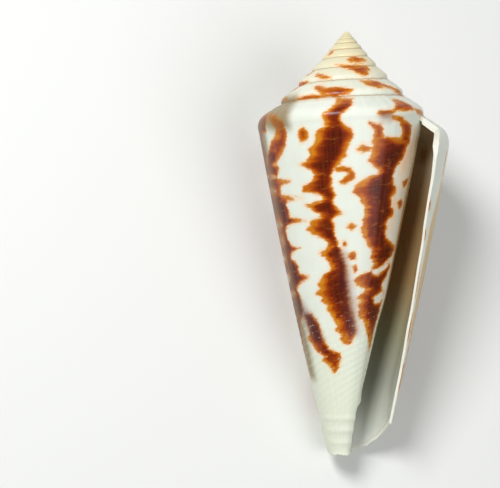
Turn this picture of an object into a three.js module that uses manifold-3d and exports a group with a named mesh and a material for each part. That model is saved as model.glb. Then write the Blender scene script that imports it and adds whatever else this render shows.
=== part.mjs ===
// A cone shell: one grown piece, lying on its back with the long aperture up.
//
// The shell is worked out in its own frame first. There the coiling axis is Z, the apex is at the
// origin and the base hangs 65 mm below it; +X is the side of the outer lip and -Y is the side on
// which the aperture opens. Growth time t counts whorls: 0 at the outer lip, -1 one turn earlier.
// The group at the end lays the finished shell down on the surface z = 0.

import * as THREE from "three";
import { mergeVertices } from "three/addons/utils/BufferGeometryUtils.js";
import Module from "manifold-3d";

// ---------------------------------------------------------------- driving dimensions
// Millimetres, unless the comment names another unit.

const LENGTH = 65; // apex to base along the coiling axis
const SHOULDER_RADIUS = 16.4; // at the outer lip, to the corner that ramp and side would make
const SPIRE_WHORLS = 8; // whole turns of the spire above the last whorl
const GROWTH = 0.3; // natural logarithm of the growth of one whorl, near the lip
const EARLY_GROWTH = 0.004; // how much faster the early whorls grew, per whorl squared
const LIP_ANGLE = -24; // degrees about the axis, from +X; growth runs clockwise seen from the apex

const SPIRE_STEEPNESS = 1.883; // shoulder depth = SPIRE_STEEPNESS * radius ^ SPIRE_POWER - SPIRE_OFFSET
const SPIRE_POWER = 0.8; // under 1, so that the spire is slightly hollow in outline
const SPIRE_OFFSET = 1.6;
const NUCLEUS_DROP = 0.6; // how far the blunt tip sits below that curve
const NUCLEUS_RADIUS = 1; // the size of whorl at which the blunt tip ends

const SIDE_SLOPE = 0.178; // radius lost per unit of depth, both as shares of the shoulder radius
const SIDE_BULGE = 0.0106; // how much the slope steepens towards the base
const COLUMELLA = 0.06; // the central pillar, where a whorl has narrowed to it, as the same share
const SUTURE_DROP = 0.065; // where the next whorl joins, below the corner, as a share of the radius
const LIP_SHOULDER_DROP = 0.18; // where the rounded shoulder ends at the lip, as the same share
const SHOULDER_ROUNDING = 0.26; // share of the ramp that rounds over into the side
const LIP_SHOULDER_ROUNDING = 0.37; // the same at the lip, where the shoulder is softer

const RIM_RISE = 0.0392; // the base rim climbs towards the lip by RIM_RISE * x ^ RIM_POWER
const RIM_POWER = 2.5;

const WALL = 1.2; // outer wall of the last whorl
const INNER_WALL = 0.6; // walls further in, which the animal thinned again as it grew
const THINNING_TURNS = 0.25; // stretch over which the one becomes the other, in whorls
const CORNER_WALL = 1.6; // wall along the bisector of the shoulder corner, as a share of the wall
const INNER_SHOULDER_DROP = 0.3; // where the inner face of the side starts, in shoulder radii
const GLAZE = 0.12; // thin layer that the animal laid over the earlier whorl, inside the aperture
const HOLLOW_TURNS = 2.5; // how far the hollow runs back from the lip, in whorls
const MOUTH_OVERSHOOT = 0.04; // how far the hollow's cutter passes the lip, in whorls
const CANAL_TURNS = 0.33; // stretch of the last whorl whose hollow opens through the base, in whorls
const CANAL_CLOSING = 0.08; // stretch over which that opening closes, in whorls
const BASE_FLOOR = 3; // shell left under the hollow, behind the canal
const BASE_OVERSHOOT = 3; // how far the canal's cutter passes the base
const NARROWEST_HOLLOW = 0.8; // across the hollow where it ends against the columella
const LEAST_GAP = 0.02; // across the hollow right under the suture

const REST_SIDE = 108; // degrees about the axis, from +X, of the side that the shell lies on
const REST_PITCH = 11.15; // degrees that the axis climbs towards the apex, because the side tapers
const REST_FLAT = 0.1; // depth of the small flat on which the back rests
const CUTTER_SIZE = 200; // of the block that cuts the flat, more than the shell in every direction

const COLUMNS = 40; // facets around one turn
const RAMP_STEPS = 2; // facets along the ramp, from the suture to the shoulder
const SHOULDER_STEPS = 3; // facets round the shoulder
const SIDE_STEPS = 12; // facets down the side
const BASE_STEPS = 2; // facets across the base
const HOLLOW_STEPS = 10; // facets down each face of the hollow
const WELD = 1e-4; // vertices closer than this are one
const RIM_PASSES = 30; // passes that settle where the side and the base rim meet

const GLOSSY_WHITE = { color: 0xe9ebe4, roughness: 0.25, metalness: 0 };

// ---------------------------------------------------------------- the laws of growth

// Radius of the shoulder corner at growth time t.
function shoulderRadius(t) {
  return SHOULDER_RADIUS * Math.exp(GROWTH * t - EARLY_GROWTH * t * t);
}

// Depth of that corner below the apex.
function shoulderDepth(t) {
  const radius = shoulderRadius(t);
  const blunt = NUCLEUS_DROP * Math.exp(-((radius / NUCLEUS_RADIUS) ** 2));
  return SPIRE_STEEPNESS * radius ** SPIRE_POWER - SPIRE_OFFSET + blunt;
}

// A point (radius, height) on the side of whorl t, at a drop below its corner in shoulder radii.
function sidePoint(t, drop) {
  const radius = shoulderRadius(t);
  const share = 1 - SIDE_SLOPE * drop - SIDE_BULGE * drop * drop;
  return new THREE.Vector2(
    radius * Math.max(share, COLUMELLA),
    -shoulderDepth(t) - radius * drop,
  );
}

// The drop at which the side of whorl t has narrowed to the given radius.
function dropAtRadius(t, target) {
  const lost = 1 - target / shoulderRadius(t);
  return (Math.sqrt(SIDE_SLOPE ** 2 + 4 * SIDE_BULGE * lost) - SIDE_SLOPE) / (2 * SIDE_BULGE);
}

// Radius of the side of whorl t at a height.
function sideRadiusAt(t, height) {
  return sidePoint(t, (-height - shoulderDepth(t)) / shoulderRadius(t)).x;
}

// A value that runs from its spire value to its lip value over the last whorl.
function towardsLip(t, spireValue, lipValue) {
  return THREE.MathUtils.lerp(spireValue, lipValue, THREE.MathUtils.clamp(t + 1, 0, 1));
}

// Direction of growth time t about the axis, in radians.
function angleOf(t) {
  return THREE.MathUtils.degToRad(LIP_ANGLE - 360 * (t - Math.floor(t)));
}

// Depth of the base rim at a distance x towards the lip's side.
function rimDepth(x) {
  return LENGTH - RIM_RISE * Math.max(x, 0) ** RIM_POWER;
}

// ---------------------------------------------------------------- outlines of one whorl

// Suture, ramp and rounded shoulder of whorl t, down to the first point of its side.
function whorlTop(t) {
  const suture = sidePoint(t - 1, SUTURE_DROP);
  const corner = sidePoint(t, 0);
  const rounding = towardsLip(t, SHOULDER_ROUNDING, LIP_SHOULDER_ROUNDING);
  const end = sidePoint(t, towardsLip(t, SUTURE_DROP, LIP_SHOULDER_DROP));
  const start = corner.clone().lerp(suture, rounding);
  const ramp = new THREE.LineCurve(suture, start).getPoints(RAMP_STEPS);
  const shoulder = new THREE.QuadraticBezierCurve(start, corner, end).getPoints(SHOULDER_STEPS);
  return [...ramp.slice(0, -1), ...shoulder.slice(0, -1), end];
}

// The drop at which the side of whorl t meets the base rim.
function rimDrop(t) {
  const cosine = Math.cos(angleOf(t));
  let drop = 0;
  for (let pass = 0; pass < RIM_PASSES; pass += 1) {
    const x = sidePoint(t, drop).x * cosine;
    drop = (rimDepth(x) - shoulderDepth(t)) / shoulderRadius(t);
  }
  return drop;
}

// The side of whorl t below its shoulder, down to the base rim.
function whorlSide(t) {
  const first = towardsLip(t, SUTURE_DROP, LIP_SHOULDER_DROP);
  const last = rimDrop(t);
  const points = [];
  for (let step = 1; step <= SIDE_STEPS; step += 1) {
    points.push(sidePoint(t, THREE.MathUtils.lerp(first, last, step / SIDE_STEPS)));
  }
  return points;
}

// The base of whorl t, from the rim in to the pillar and on to the axis.
function whorlBase(t) {
  const cosine = Math.cos(angleOf(t));
  const rim = sidePoint(t, rimDrop(t)).x;
  const pillar = COLUMELLA * shoulderRadius(-1);
  const points = [];
  for (let step = 1; step <= BASE_STEPS; step += 1) {
    const radius = THREE.MathUtils.lerp(rim, pillar, step / BASE_STEPS);
    points.push(new THREE.Vector2(radius, -rimDepth(radius * cosine)));
  }
  return [...points, new THREE.Vector2(0, -LENGTH)];
}

// The whole outline in one direction: apex, every whorl of the spire, then the last whorl.
function outline(t) {
  const points = [new THREE.Vector2(0, 0)];
  for (let earlier = SPIRE_WHORLS; earlier >= 1; earlier -= 1) {
    points.push(...whorlTop(t - earlier).slice(0, -1));
  }
  return [...points, ...whorlTop(t), ...whorlSide(t), ...whorlBase(t)];
}

// ---------------------------------------------------------------- meshes

// Turns a point (radius, height) about the axis.
function turned(point, angle) {
  return [point.x * Math.cos(angle), point.x * Math.sin(angle), point.y];
}

// Adds a quad as two triangles, leaving out any that has shrunk to a line.
function addQuad(triangles, a, b, c, d) {
  const apart = (p, q) => p.some((value, axis) => Math.abs(value - q[axis]) > WELD);
  for (const [p, q, r] of [[a, b, c], [a, c, d]]) {
    if (apart(p, q) && apart(q, r) && apart(r, p)) triangles.push(p, q, r);
  }
}

// Adds a flat face that fills a closed outline in the half plane at an angle. Seen in that plane,
// with the radius to the right, a face that looks the way the shell grows runs anticlockwise.
function addFace(triangles, points, angle, facesGrowth) {
  for (const face of THREE.ShapeUtils.triangulateShape(points, [])) {
    const [a, b, c] = face.map((index) => points[index]);
    const anticlockwise = b.clone().sub(a).cross(c.clone().sub(a)) > 0;
    const order = anticlockwise === facesGrowth ? [a, b, c] : [a, c, b];
    triangles.push(...order.map((point) => turned(point, angle)));
  }
}

// The solid that a closed surface encloses.
function solidFrom(geometry) {
  geometry.deleteAttribute("normal");
  geometry.deleteAttribute("uv");
  const welded = mergeVertices(geometry, WELD);
  return new wasm.Manifold(
    new wasm.Mesh({
      numProp: 3,
      vertProperties: new Float32Array(welded.attributes.position.array),
      triVerts: new Uint32Array(welded.index.array),
    }),
  );
}

// A surface from a list of triangle corners.
function geometryFromTriangles(triangles) {
  const positions = new THREE.Float32BufferAttribute(triangles.flat(), 3);
  return new THREE.BufferGeometry().setAttribute("position", positions);
}

// The shell's outside as a full solid: a lathe whose outline grows as it turns, with one step left
// at the end of the turn, which is the face of the outer lip.
function shellBody() {
  const triangles = [];
  const columns = [];
  for (let column = 0; column <= COLUMNS; column += 1) {
    columns.push(outline(column / COLUMNS - 1));
  }
  const angles = columns.map((_, column) => angleOf((column % COLUMNS) / COLUMNS));
  for (let column = 0; column < COLUMNS; column += 1) {
    const here = columns[column].map((point) => turned(point, angles[column]));
    const next = columns[column + 1].map((point) => turned(point, angles[column + 1]));
    for (let row = 0; row + 1 < here.length; row += 1) {
      addQuad(triangles, here[row], next[row], next[row + 1], here[row + 1]);
    }
  }
  const rowsOfWhorl = RAMP_STEPS + SHOULDER_STEPS;
  const first = columns[0];
  const last = columns[COLUMNS];
  // The lip: from the last suture down the outside, and back up the earlier whorl's side.
  const lipStart = 1 + SPIRE_WHORLS * rowsOfWhorl;
  const earlierSide = lipStart + rowsOfWhorl + 1;
  const lip = last.slice(lipStart, -1);
  lip.push(...first.slice(earlierSide, earlierSide + SIDE_STEPS - 1).reverse());
  addFace(triangles, lip, angles[0], true);
  // The nucleus: the first whorl's step, between the apex and the first suture.
  addFace(triangles, first.slice(0, rowsOfWhorl + 2), angles[0], false);
  return solidFrom(geometryFromTriangles(triangles));
}

// Thickness of the outer wall of whorl t.
function wallOf(t) {
  const thinned = THREE.MathUtils.clamp((-1 - t) / THINNING_TURNS, 0, 1);
  return THREE.MathUtils.lerp(WALL, INNER_WALL, thinned);
}

// Depth at which the hollow of whorl t ends: past the base in the canal, short of it further back.
function hollowDepth(t) {
  const narrow = wallOf(t) + COLUMELLA * shoulderRadius(t - 1) + NARROWEST_HOLLOW;
  const closed = shoulderDepth(t) + shoulderRadius(t) * dropAtRadius(t, narrow);
  const floor = Math.min(closed, LENGTH - BASE_FLOOR);
  const opening = THREE.MathUtils.clamp((t + CANAL_TURNS) / CANAL_CLOSING + 1, 0, 1);
  return THREE.MathUtils.lerp(floor, LENGTH + BASE_OVERSHOOT, opening);
}

// The inner face of whorl t's outer wall, from under the suture to the end of the hollow.
function insideOfWall(t) {
  const corner = sidePoint(t, 0);
  const suture = sidePoint(t - 1, SUTURE_DROP);
  const last = (hollowDepth(t) - shoulderDepth(t)) / shoulderRadius(t);
  const middleOfRamp = suture.clone().lerp(corner, 0.5);
  const outside = [suture, middleOfRamp, corner];
  for (let step = 0; step <= HOLLOW_STEPS; step += 1) {
    const drop = THREE.MathUtils.lerp(INNER_SHOULDER_DROP, last, step / HOLLOW_STEPS);
    outside.push(sidePoint(t, drop));
  }
  return outside.map((point, index) => {
    const before = outside[Math.max(index - 1, 0)];
    const after = outside[Math.min(index + 1, outside.length - 1)];
    const along = after.clone().sub(before).normalize();
    const wall = wallOf(t) * (point === corner ? CORNER_WALL : 1);
    const inside = new THREE.Vector2(point.x + along.y * wall, point.y - along.x * wall);
    inside.x = Math.max(inside.x, coreRadius(t, inside.y) + LEAST_GAP);
    return inside;
  });
}

// Radius of the earlier whorl inside the hollow of whorl t, with its glaze.
function coreRadius(t, height) {
  return sideRadiusAt(t - 1, height) + GLAZE;
}

// Cross-section of the hollow of whorl t: the inner face of its wall, then the earlier whorl.
function hollowSection(t) {
  const wall = insideOfWall(t);
  const top = wall[0].y;
  const bottom = wall[wall.length - 1].y;
  const core = [];
  for (let step = 0; step < HOLLOW_STEPS; step += 1) {
    const height = THREE.MathUtils.lerp(bottom, top, step / HOLLOW_STEPS);
    core.push(new THREE.Vector2(coreRadius(t, height), height));
  }
  return [...wall, ...core];
}

// The hollow as a solid to cut away, from just past the lip back into the shell.
function hollow() {
  const triangles = [];
  const count = Math.round((HOLLOW_TURNS + MOUTH_OVERSHOOT) * COLUMNS);
  const times = [];
  for (let index = 0; index <= count; index += 1) {
    times.push(THREE.MathUtils.lerp(-HOLLOW_TURNS, MOUTH_OVERSHOOT, index / count));
  }
  const sections = times.map((t) => hollowSection(t));
  const rings = sections.map((section, index) =>
    section.map((point) => turned(point, angleOf(times[index]))),
  );
  for (let index = 0; index < count; index += 1) {
    const here = rings[index];
    const next = rings[index + 1];
    here.forEach((corner, row) => {
      const below = (row + 1) % here.length;
      addQuad(triangles, corner, next[row], next[below], here[below]);
    });
  }
  addFace(triangles, sections[0], angleOf(times[0]), false);
  addFace(triangles, sections[count], angleOf(times[count]), true);
  return solidFrom(geometryFromTriangles(triangles));
}

// ---------------------------------------------------------------- the shell laid down

// The surface of a solid.
function geometryFromSolid(solid) {
  const mesh = solid.getMesh();
  const made = new THREE.BufferGeometry();
  made.setAttribute("position", new THREE.BufferAttribute(mesh.vertProperties, 3));
  made.setIndex(new THREE.BufferAttribute(mesh.triVerts, 1));
  made.computeVertexNormals();
  return made;
}

// The bounds of a solid once it is turned onto its back.
function boundsLying(solid) {
  const turnedOver = geometryFromSolid(solid).applyMatrix4(lying);
  return new THREE.Box3().setFromBufferAttribute(turnedOver.attributes.position);
}

// The block under a height in the lying shell's frame, given in the shell's own frame.
function blockBelow(height) {
  const block = new THREE.BoxGeometry(CUTTER_SIZE, CUTTER_SIZE, CUTTER_SIZE);
  block.translate(0, 0, height - CUTTER_SIZE / 2);
  return solidFrom(block.applyMatrix4(lying.clone().invert()));
}

const wasm = await Module();
wasm.setup();

const lyingTurn = new THREE.Euler(
  THREE.MathUtils.degToRad(REST_PITCH - 90),
  0,
  THREE.MathUtils.degToRad(90 - REST_SIDE),
);
const lying = new THREE.Matrix4().makeRotationFromEuler(lyingTurn);
const wholeShell = shellBody().subtract(hollow());
const flatHeight = boundsLying(wholeShell).min.z + REST_FLAT;
const restingShell = wholeShell.subtract(blockBelow(flatHeight));

const material = new THREE.MeshStandardMaterial(GLOSSY_WHITE);
const shell = new THREE.Mesh(geometryFromSolid(restingShell), material);
shell.name = "shell";
shell.rotation.copy(lyingTurn);

// The shell stands on z = 0, with the middle of its box over the origin.
const middle = boundsLying(restingShell).getCenter(new THREE.Vector3());
const coneShell = new THREE.Group();
coneShell.add(shell);
coneShell.position.set(-middle.x, -middle.y, -flatHeight);

export default coneShell;
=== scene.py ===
"""A cone shell, lying on its back with the long aperture up.

The shell is worked out in its own frame first, in millimetres: the coiling axis is Z, the apex is
at the origin and the base hangs below it, +X is the side of the outer lip and the aperture opens
towards -Y. Growth time is counted in turns: 0 at the outer lip, -1 one turn earlier. An azimuth is
in degrees about the axis, from +X, anticlockwise seen from the apex. A depth is measured below the
apex, along the axis. A station says where on the whorl's outline a point is: 0 to 1 along the ramp
from the suture, 1 to 2 round the shoulder, 2 to 3 down the side and 3 to 4 across the base.
"""

import logging
import math
from dataclasses import dataclass, field
from enum import IntEnum
from typing import Any, Sequence

import bpy
import numpy as np
from mathutils import Matrix, Vector


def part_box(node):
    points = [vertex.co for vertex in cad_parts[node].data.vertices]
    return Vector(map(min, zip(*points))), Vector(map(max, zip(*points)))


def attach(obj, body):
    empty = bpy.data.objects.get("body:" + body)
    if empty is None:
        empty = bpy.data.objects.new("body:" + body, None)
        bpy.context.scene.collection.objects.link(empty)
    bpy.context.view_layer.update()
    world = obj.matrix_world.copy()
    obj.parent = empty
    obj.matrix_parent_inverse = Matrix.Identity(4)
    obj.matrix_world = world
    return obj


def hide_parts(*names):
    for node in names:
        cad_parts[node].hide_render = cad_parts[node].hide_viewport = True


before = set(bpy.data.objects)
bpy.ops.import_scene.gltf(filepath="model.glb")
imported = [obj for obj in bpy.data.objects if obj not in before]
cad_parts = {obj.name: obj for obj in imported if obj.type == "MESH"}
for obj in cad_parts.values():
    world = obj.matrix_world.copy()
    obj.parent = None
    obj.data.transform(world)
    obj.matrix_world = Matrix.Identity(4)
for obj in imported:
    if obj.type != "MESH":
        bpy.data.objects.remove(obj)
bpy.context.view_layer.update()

MM = 0.001
WAVE_COUNT = 257  # random heights that a ripple repeats after
TURN_SCALE = 90.0  # millimetres to one turn of growth, for patterns
DROP_SCALE = 13.5  # millimetres to a drop of one shoulder radius, for patterns

log = logging.getLogger("cone_shell")


# ---------------------------------------------------------------- small tools


def smooth(value: np.ndarray, low: float, high: float) -> np.ndarray:
    """Eases from 0 at low to 1 at high, which may be the smaller of the two."""
    share = np.clip((value - low) / (high - low), 0.0, 1.0)
    return share * share * (3.0 - 2.0 * share)


def ripple(place: np.ndarray, period: float, seed: int) -> np.ndarray:
    """Seeded random waves along one coordinate.

    Args:
        place: The coordinate.
        period: The usual distance between two crests, in the coordinate's unit.
        seed: Chooses the waves.

    Returns:
        Numbers from about -1 to 1.
    """
    table = np.random.default_rng(seed).uniform(-1.0, 1.0, WAVE_COUNT)
    step = np.asarray(place) * 2.0 / period
    cell = np.floor(step).astype(int)
    share = smooth(step - cell, 0.0, 1.0)
    return table[cell % WAVE_COUNT] * (1.0 - share) + table[(cell + 1) % WAVE_COUNT] * share


def linear_colour(code: str) -> tuple[float, float, float, float]:
    """Turns an sRGB hex colour into a linear colour with alpha 1.

    Args:
        code: Six hex digits, with or without a leading #.

    Returns:
        Red, green, blue and alpha.
    """
    digits = code.lstrip("#")
    parts = [int(digits[at : at + 2], 16) / 255.0 for at in (0, 2, 4)]
    linear = [c / 12.92 if c <= 0.04045 else ((c + 0.055) / 1.055) ** 2.4 for c in parts]
    return (linear[0], linear[1], linear[2], 1.0)


def read_places(mesh: bpy.types.Mesh) -> np.ndarray:
    """The vertices' coordinates.

    Args:
        mesh: The mesh to read.

    Returns:
        One row for each vertex, in metres.
    """
    flat = np.zeros(len(mesh.vertices) * 3, np.float32)
    mesh.vertices.foreach_get("co", flat)
    return flat.reshape(-1, 3).astype(float)


def write_places(mesh: bpy.types.Mesh, places: np.ndarray) -> None:
    """Sets the vertices' coordinates."""
    mesh.vertices.foreach_set("co", places.astype(np.float32).ravel())
    mesh.update()


def read_numbers(mesh: bpy.types.Mesh, name: str) -> np.ndarray:
    """The numbers that a mesh keeps under one name.

    Args:
        mesh: The mesh to read.
        name: The attribute's name.

    Returns:
        One number for each vertex.
    """
    values = np.zeros(len(mesh.vertices), np.float32)
    mesh.attributes[name].data.foreach_get("value", values)
    return values.astype(float)


def write_numbers(mesh: bpy.types.Mesh, name: str, values: np.ndarray) -> None:
    """Keeps one number for each vertex under a name."""
    attribute = mesh.attributes.get(name) or mesh.attributes.new(name, "FLOAT", "POINT")
    attribute.data.foreach_set("value", values.astype(np.float32))


def activate(thing: bpy.types.Object) -> None:
    """Makes one object the only one selected, and the active one.

    Args:
        thing: The object.
    """
    bpy.ops.object.select_all(action="DESELECT")
    thing.select_set(True)
    bpy.context.view_layer.objects.active = thing


def join(parts: Sequence[bpy.types.Object], name: str) -> bpy.types.Object:
    """Joins objects into the first one.

    Args:
        parts: The objects.
        name: The name of the joined object and of its mesh.

    Returns:
        The joined object.
    """
    activate(parts[0])
    for part in parts[1:]:
        part.select_set(True)
    bpy.ops.object.join()
    parts[0].name = name
    parts[0].data.name = name
    return parts[0]


# ---------------------------------------------------------------- how the shell grew


@dataclass(frozen=True)
class Growth:
    """The laws by which the shell grew. Lengths are in millimetres."""

    length: float = 65.0
    shoulder_radius: float = 16.4  # at the lip
    growth: float = 0.3  # natural logarithm of the growth over one turn
    early_growth: float = 0.004  # how much faster the first whorls grew
    lip_azimuth: float = -24.0
    steepness: float = 1.883  # the spire's outline: steepness * radius ** power - offset
    power: float = 0.8
    offset: float = 1.6
    nucleus_drop: float = 0.6
    side_slope: float = 0.178  # share of the radius lost for each shoulder radius of drop
    side_bulge: float = 0.0106
    pillar: float = 0.06  # least share of the radius that is left
    suture_drop: float = 0.065
    suture_overlap: float = 0.01
    suture_dive: float = 0.05
    lip_shoulder_drop: float = 0.18
    rounding: float = 0.26
    lip_rounding: float = 0.37
    rim_rise: float = 0.0392
    rim_power: float = 2.5
    rim_chip: float = 0.22
    small_rim_chip: float = 0.1
    rim_passes: int = 30  # passes that settle where the side meets the rim
    closed_until: float = -0.40  # the base is closed up to this time, then opens as the canal
    canal_from: float = -0.32
    base_lap: float = 0.3
    base_reach: float = 0.45
    axis_gap: float = 0.05
    base_hollow: float = 0.5
    base_slope: float = 0.12

    def radius(self, turns: np.ndarray) -> np.ndarray:
        """Radius of the shoulder corner at a growth time."""
        return self.shoulder_radius * np.exp(self.growth * turns - self.early_growth * turns**2)

    def depth(self, turns: np.ndarray) -> np.ndarray:
        """Depth of the shoulder corner.

        Args:
            turns: Growth time.

        Returns:
            Millimetres below the apex.
        """
        radius = self.radius(turns)
        blunt = self.nucleus_drop * np.exp(-(radius**2))
        return self.steepness * radius**self.power - self.offset + blunt

    def azimuth(self, turns: np.ndarray) -> np.ndarray:
        """Azimuth of a growth time, in degrees: growth runs clockwise seen from the apex."""
        return self.lip_azimuth - 360.0 * turns

    def side(self, turns: np.ndarray, drop: np.ndarray) -> np.ndarray:
        """A point on the side.

        Args:
            turns: Growth time.
            drop: How far below the corner, in shoulder radii.

        Returns:
            Radius and depth, stacked.
        """
        radius = self.radius(turns)
        share = 1.0 - self.side_slope * drop - self.side_bulge * drop**2
        return np.stack([radius * np.maximum(share, self.pillar), self.depth(turns) + radius * drop])

    def rim_depth(self, x: np.ndarray, turns: np.ndarray) -> np.ndarray:
        """Depth of the base rim at a distance x towards the lip's side, with its small chips."""
        chips = self.rim_chip * ripple(turns, 0.12, 3) + self.small_rim_chip * ripple(turns, 0.033, 4)
        return self.length - self.rim_rise * np.maximum(x, 0.0) ** self.rim_power + chips

    def towards_lip(self, turns: np.ndarray, spire: float, lip: float) -> np.ndarray:
        """A value that runs from its spire value to its lip value over the last whorl."""
        return spire + (lip - spire) * np.clip(turns + 1.0, 0.0, 1.0)

    def rim_drop(self, turns: np.ndarray) -> np.ndarray:
        """The drop at which the side meets the base rim.

        Args:
            turns: Growth time.

        Returns:
            The drop, in shoulder radii.
        """
        cosine = np.cos(np.radians(self.azimuth(turns)))
        drop = np.zeros_like(turns)
        for _ in range(self.rim_passes):
            x = self.side(turns, drop)[0] * cosine
            drop = (self.rim_depth(x, turns) - self.depth(turns)) / self.radius(turns)
        return drop

    def place(self, turns: np.ndarray, station: np.ndarray) -> np.ndarray:
        """A point of the shell's outside.

        Args:
            turns: Growth time.
            station: Where on the outline. Under 0 it dives under the earlier whorl.

        Returns:
            Radius and depth, stacked.
        """
        first = self.towards_lip(turns, self.suture_drop, self.lip_shoulder_drop)
        last = self.rim_drop(turns)
        side = self.side(turns, first + (last - first) * np.clip(station - 2.0, 0.0, 1.0))
        out = self._top(turns, station, self.side(turns, first))
        out = np.where(station > 2.0, side, out)
        return np.where(station > 3.0, self._base(turns, station, self.side(turns, last)), out)

    def _top(self, turns: np.ndarray, station: np.ndarray, end: np.ndarray) -> np.ndarray:
        """A point of the ramp, or of the rounded shoulder.

        Args:
            turns: Growth time.
            station: Where on the outline, up to 2.
            end: Where the shoulder ends and the side starts.

        Returns:
            Radius and depth, stacked.
        """
        radius = self.radius(turns)
        suture = self.side(turns - 1.0, np.full_like(turns, self.suture_drop - self.suture_overlap))
        corner = np.stack([radius, self.depth(turns)])
        start = corner + (suture - corner) * self.towards_lip(turns, self.rounding, self.lip_rounding)
        dive = np.stack([self.suture_dive * radius, -self.suture_dive * radius])
        under = suture + np.clip(station, None, 0.0) * dive
        ramp = under + (start - suture) * np.clip(station, 0.0, 1.0)
        q = np.clip(station - 1.0, 0.0, 1.0)
        shoulder = start * (1 - q) ** 2 + corner * 2 * q * (1 - q) + end * q**2
        return np.where(station < 1.0, ramp, shoulder)

    def _base(self, turns: np.ndarray, station: np.ndarray, rim: np.ndarray) -> np.ndarray:
        """A point across the base: closed at first, then open along the canal.

        Args:
            turns: Growth time.
            station: Where on the outline, from 3.
            rim: Where the side ends.

        Returns:
            Radius and depth, stacked.
        """
        canal = smooth(turns, self.closed_until, self.canal_from) * (turns > -1.0)
        lap = rim[0] - self.base_lap
        reach = np.maximum(np.minimum(lap, self.base_reach * rim[0]), 0.0)
        edge = np.where(canal > 0, lap - (1 - canal) * (lap - self.axis_gap), self.axis_gap)
        edge = np.where(turns < -1.0, rim[0] - reach, edge)
        across = np.clip(station - 3.0, 0.0, 1.0)
        radius = rim[0] + (edge - rim[0]) * across
        hollow = self.base_hollow * np.sin(np.pi * across * 0.5) * (1 - canal)
        return np.stack([radius, rim[1] - hollow + (rim[0] - radius) * self.base_slope])


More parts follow.
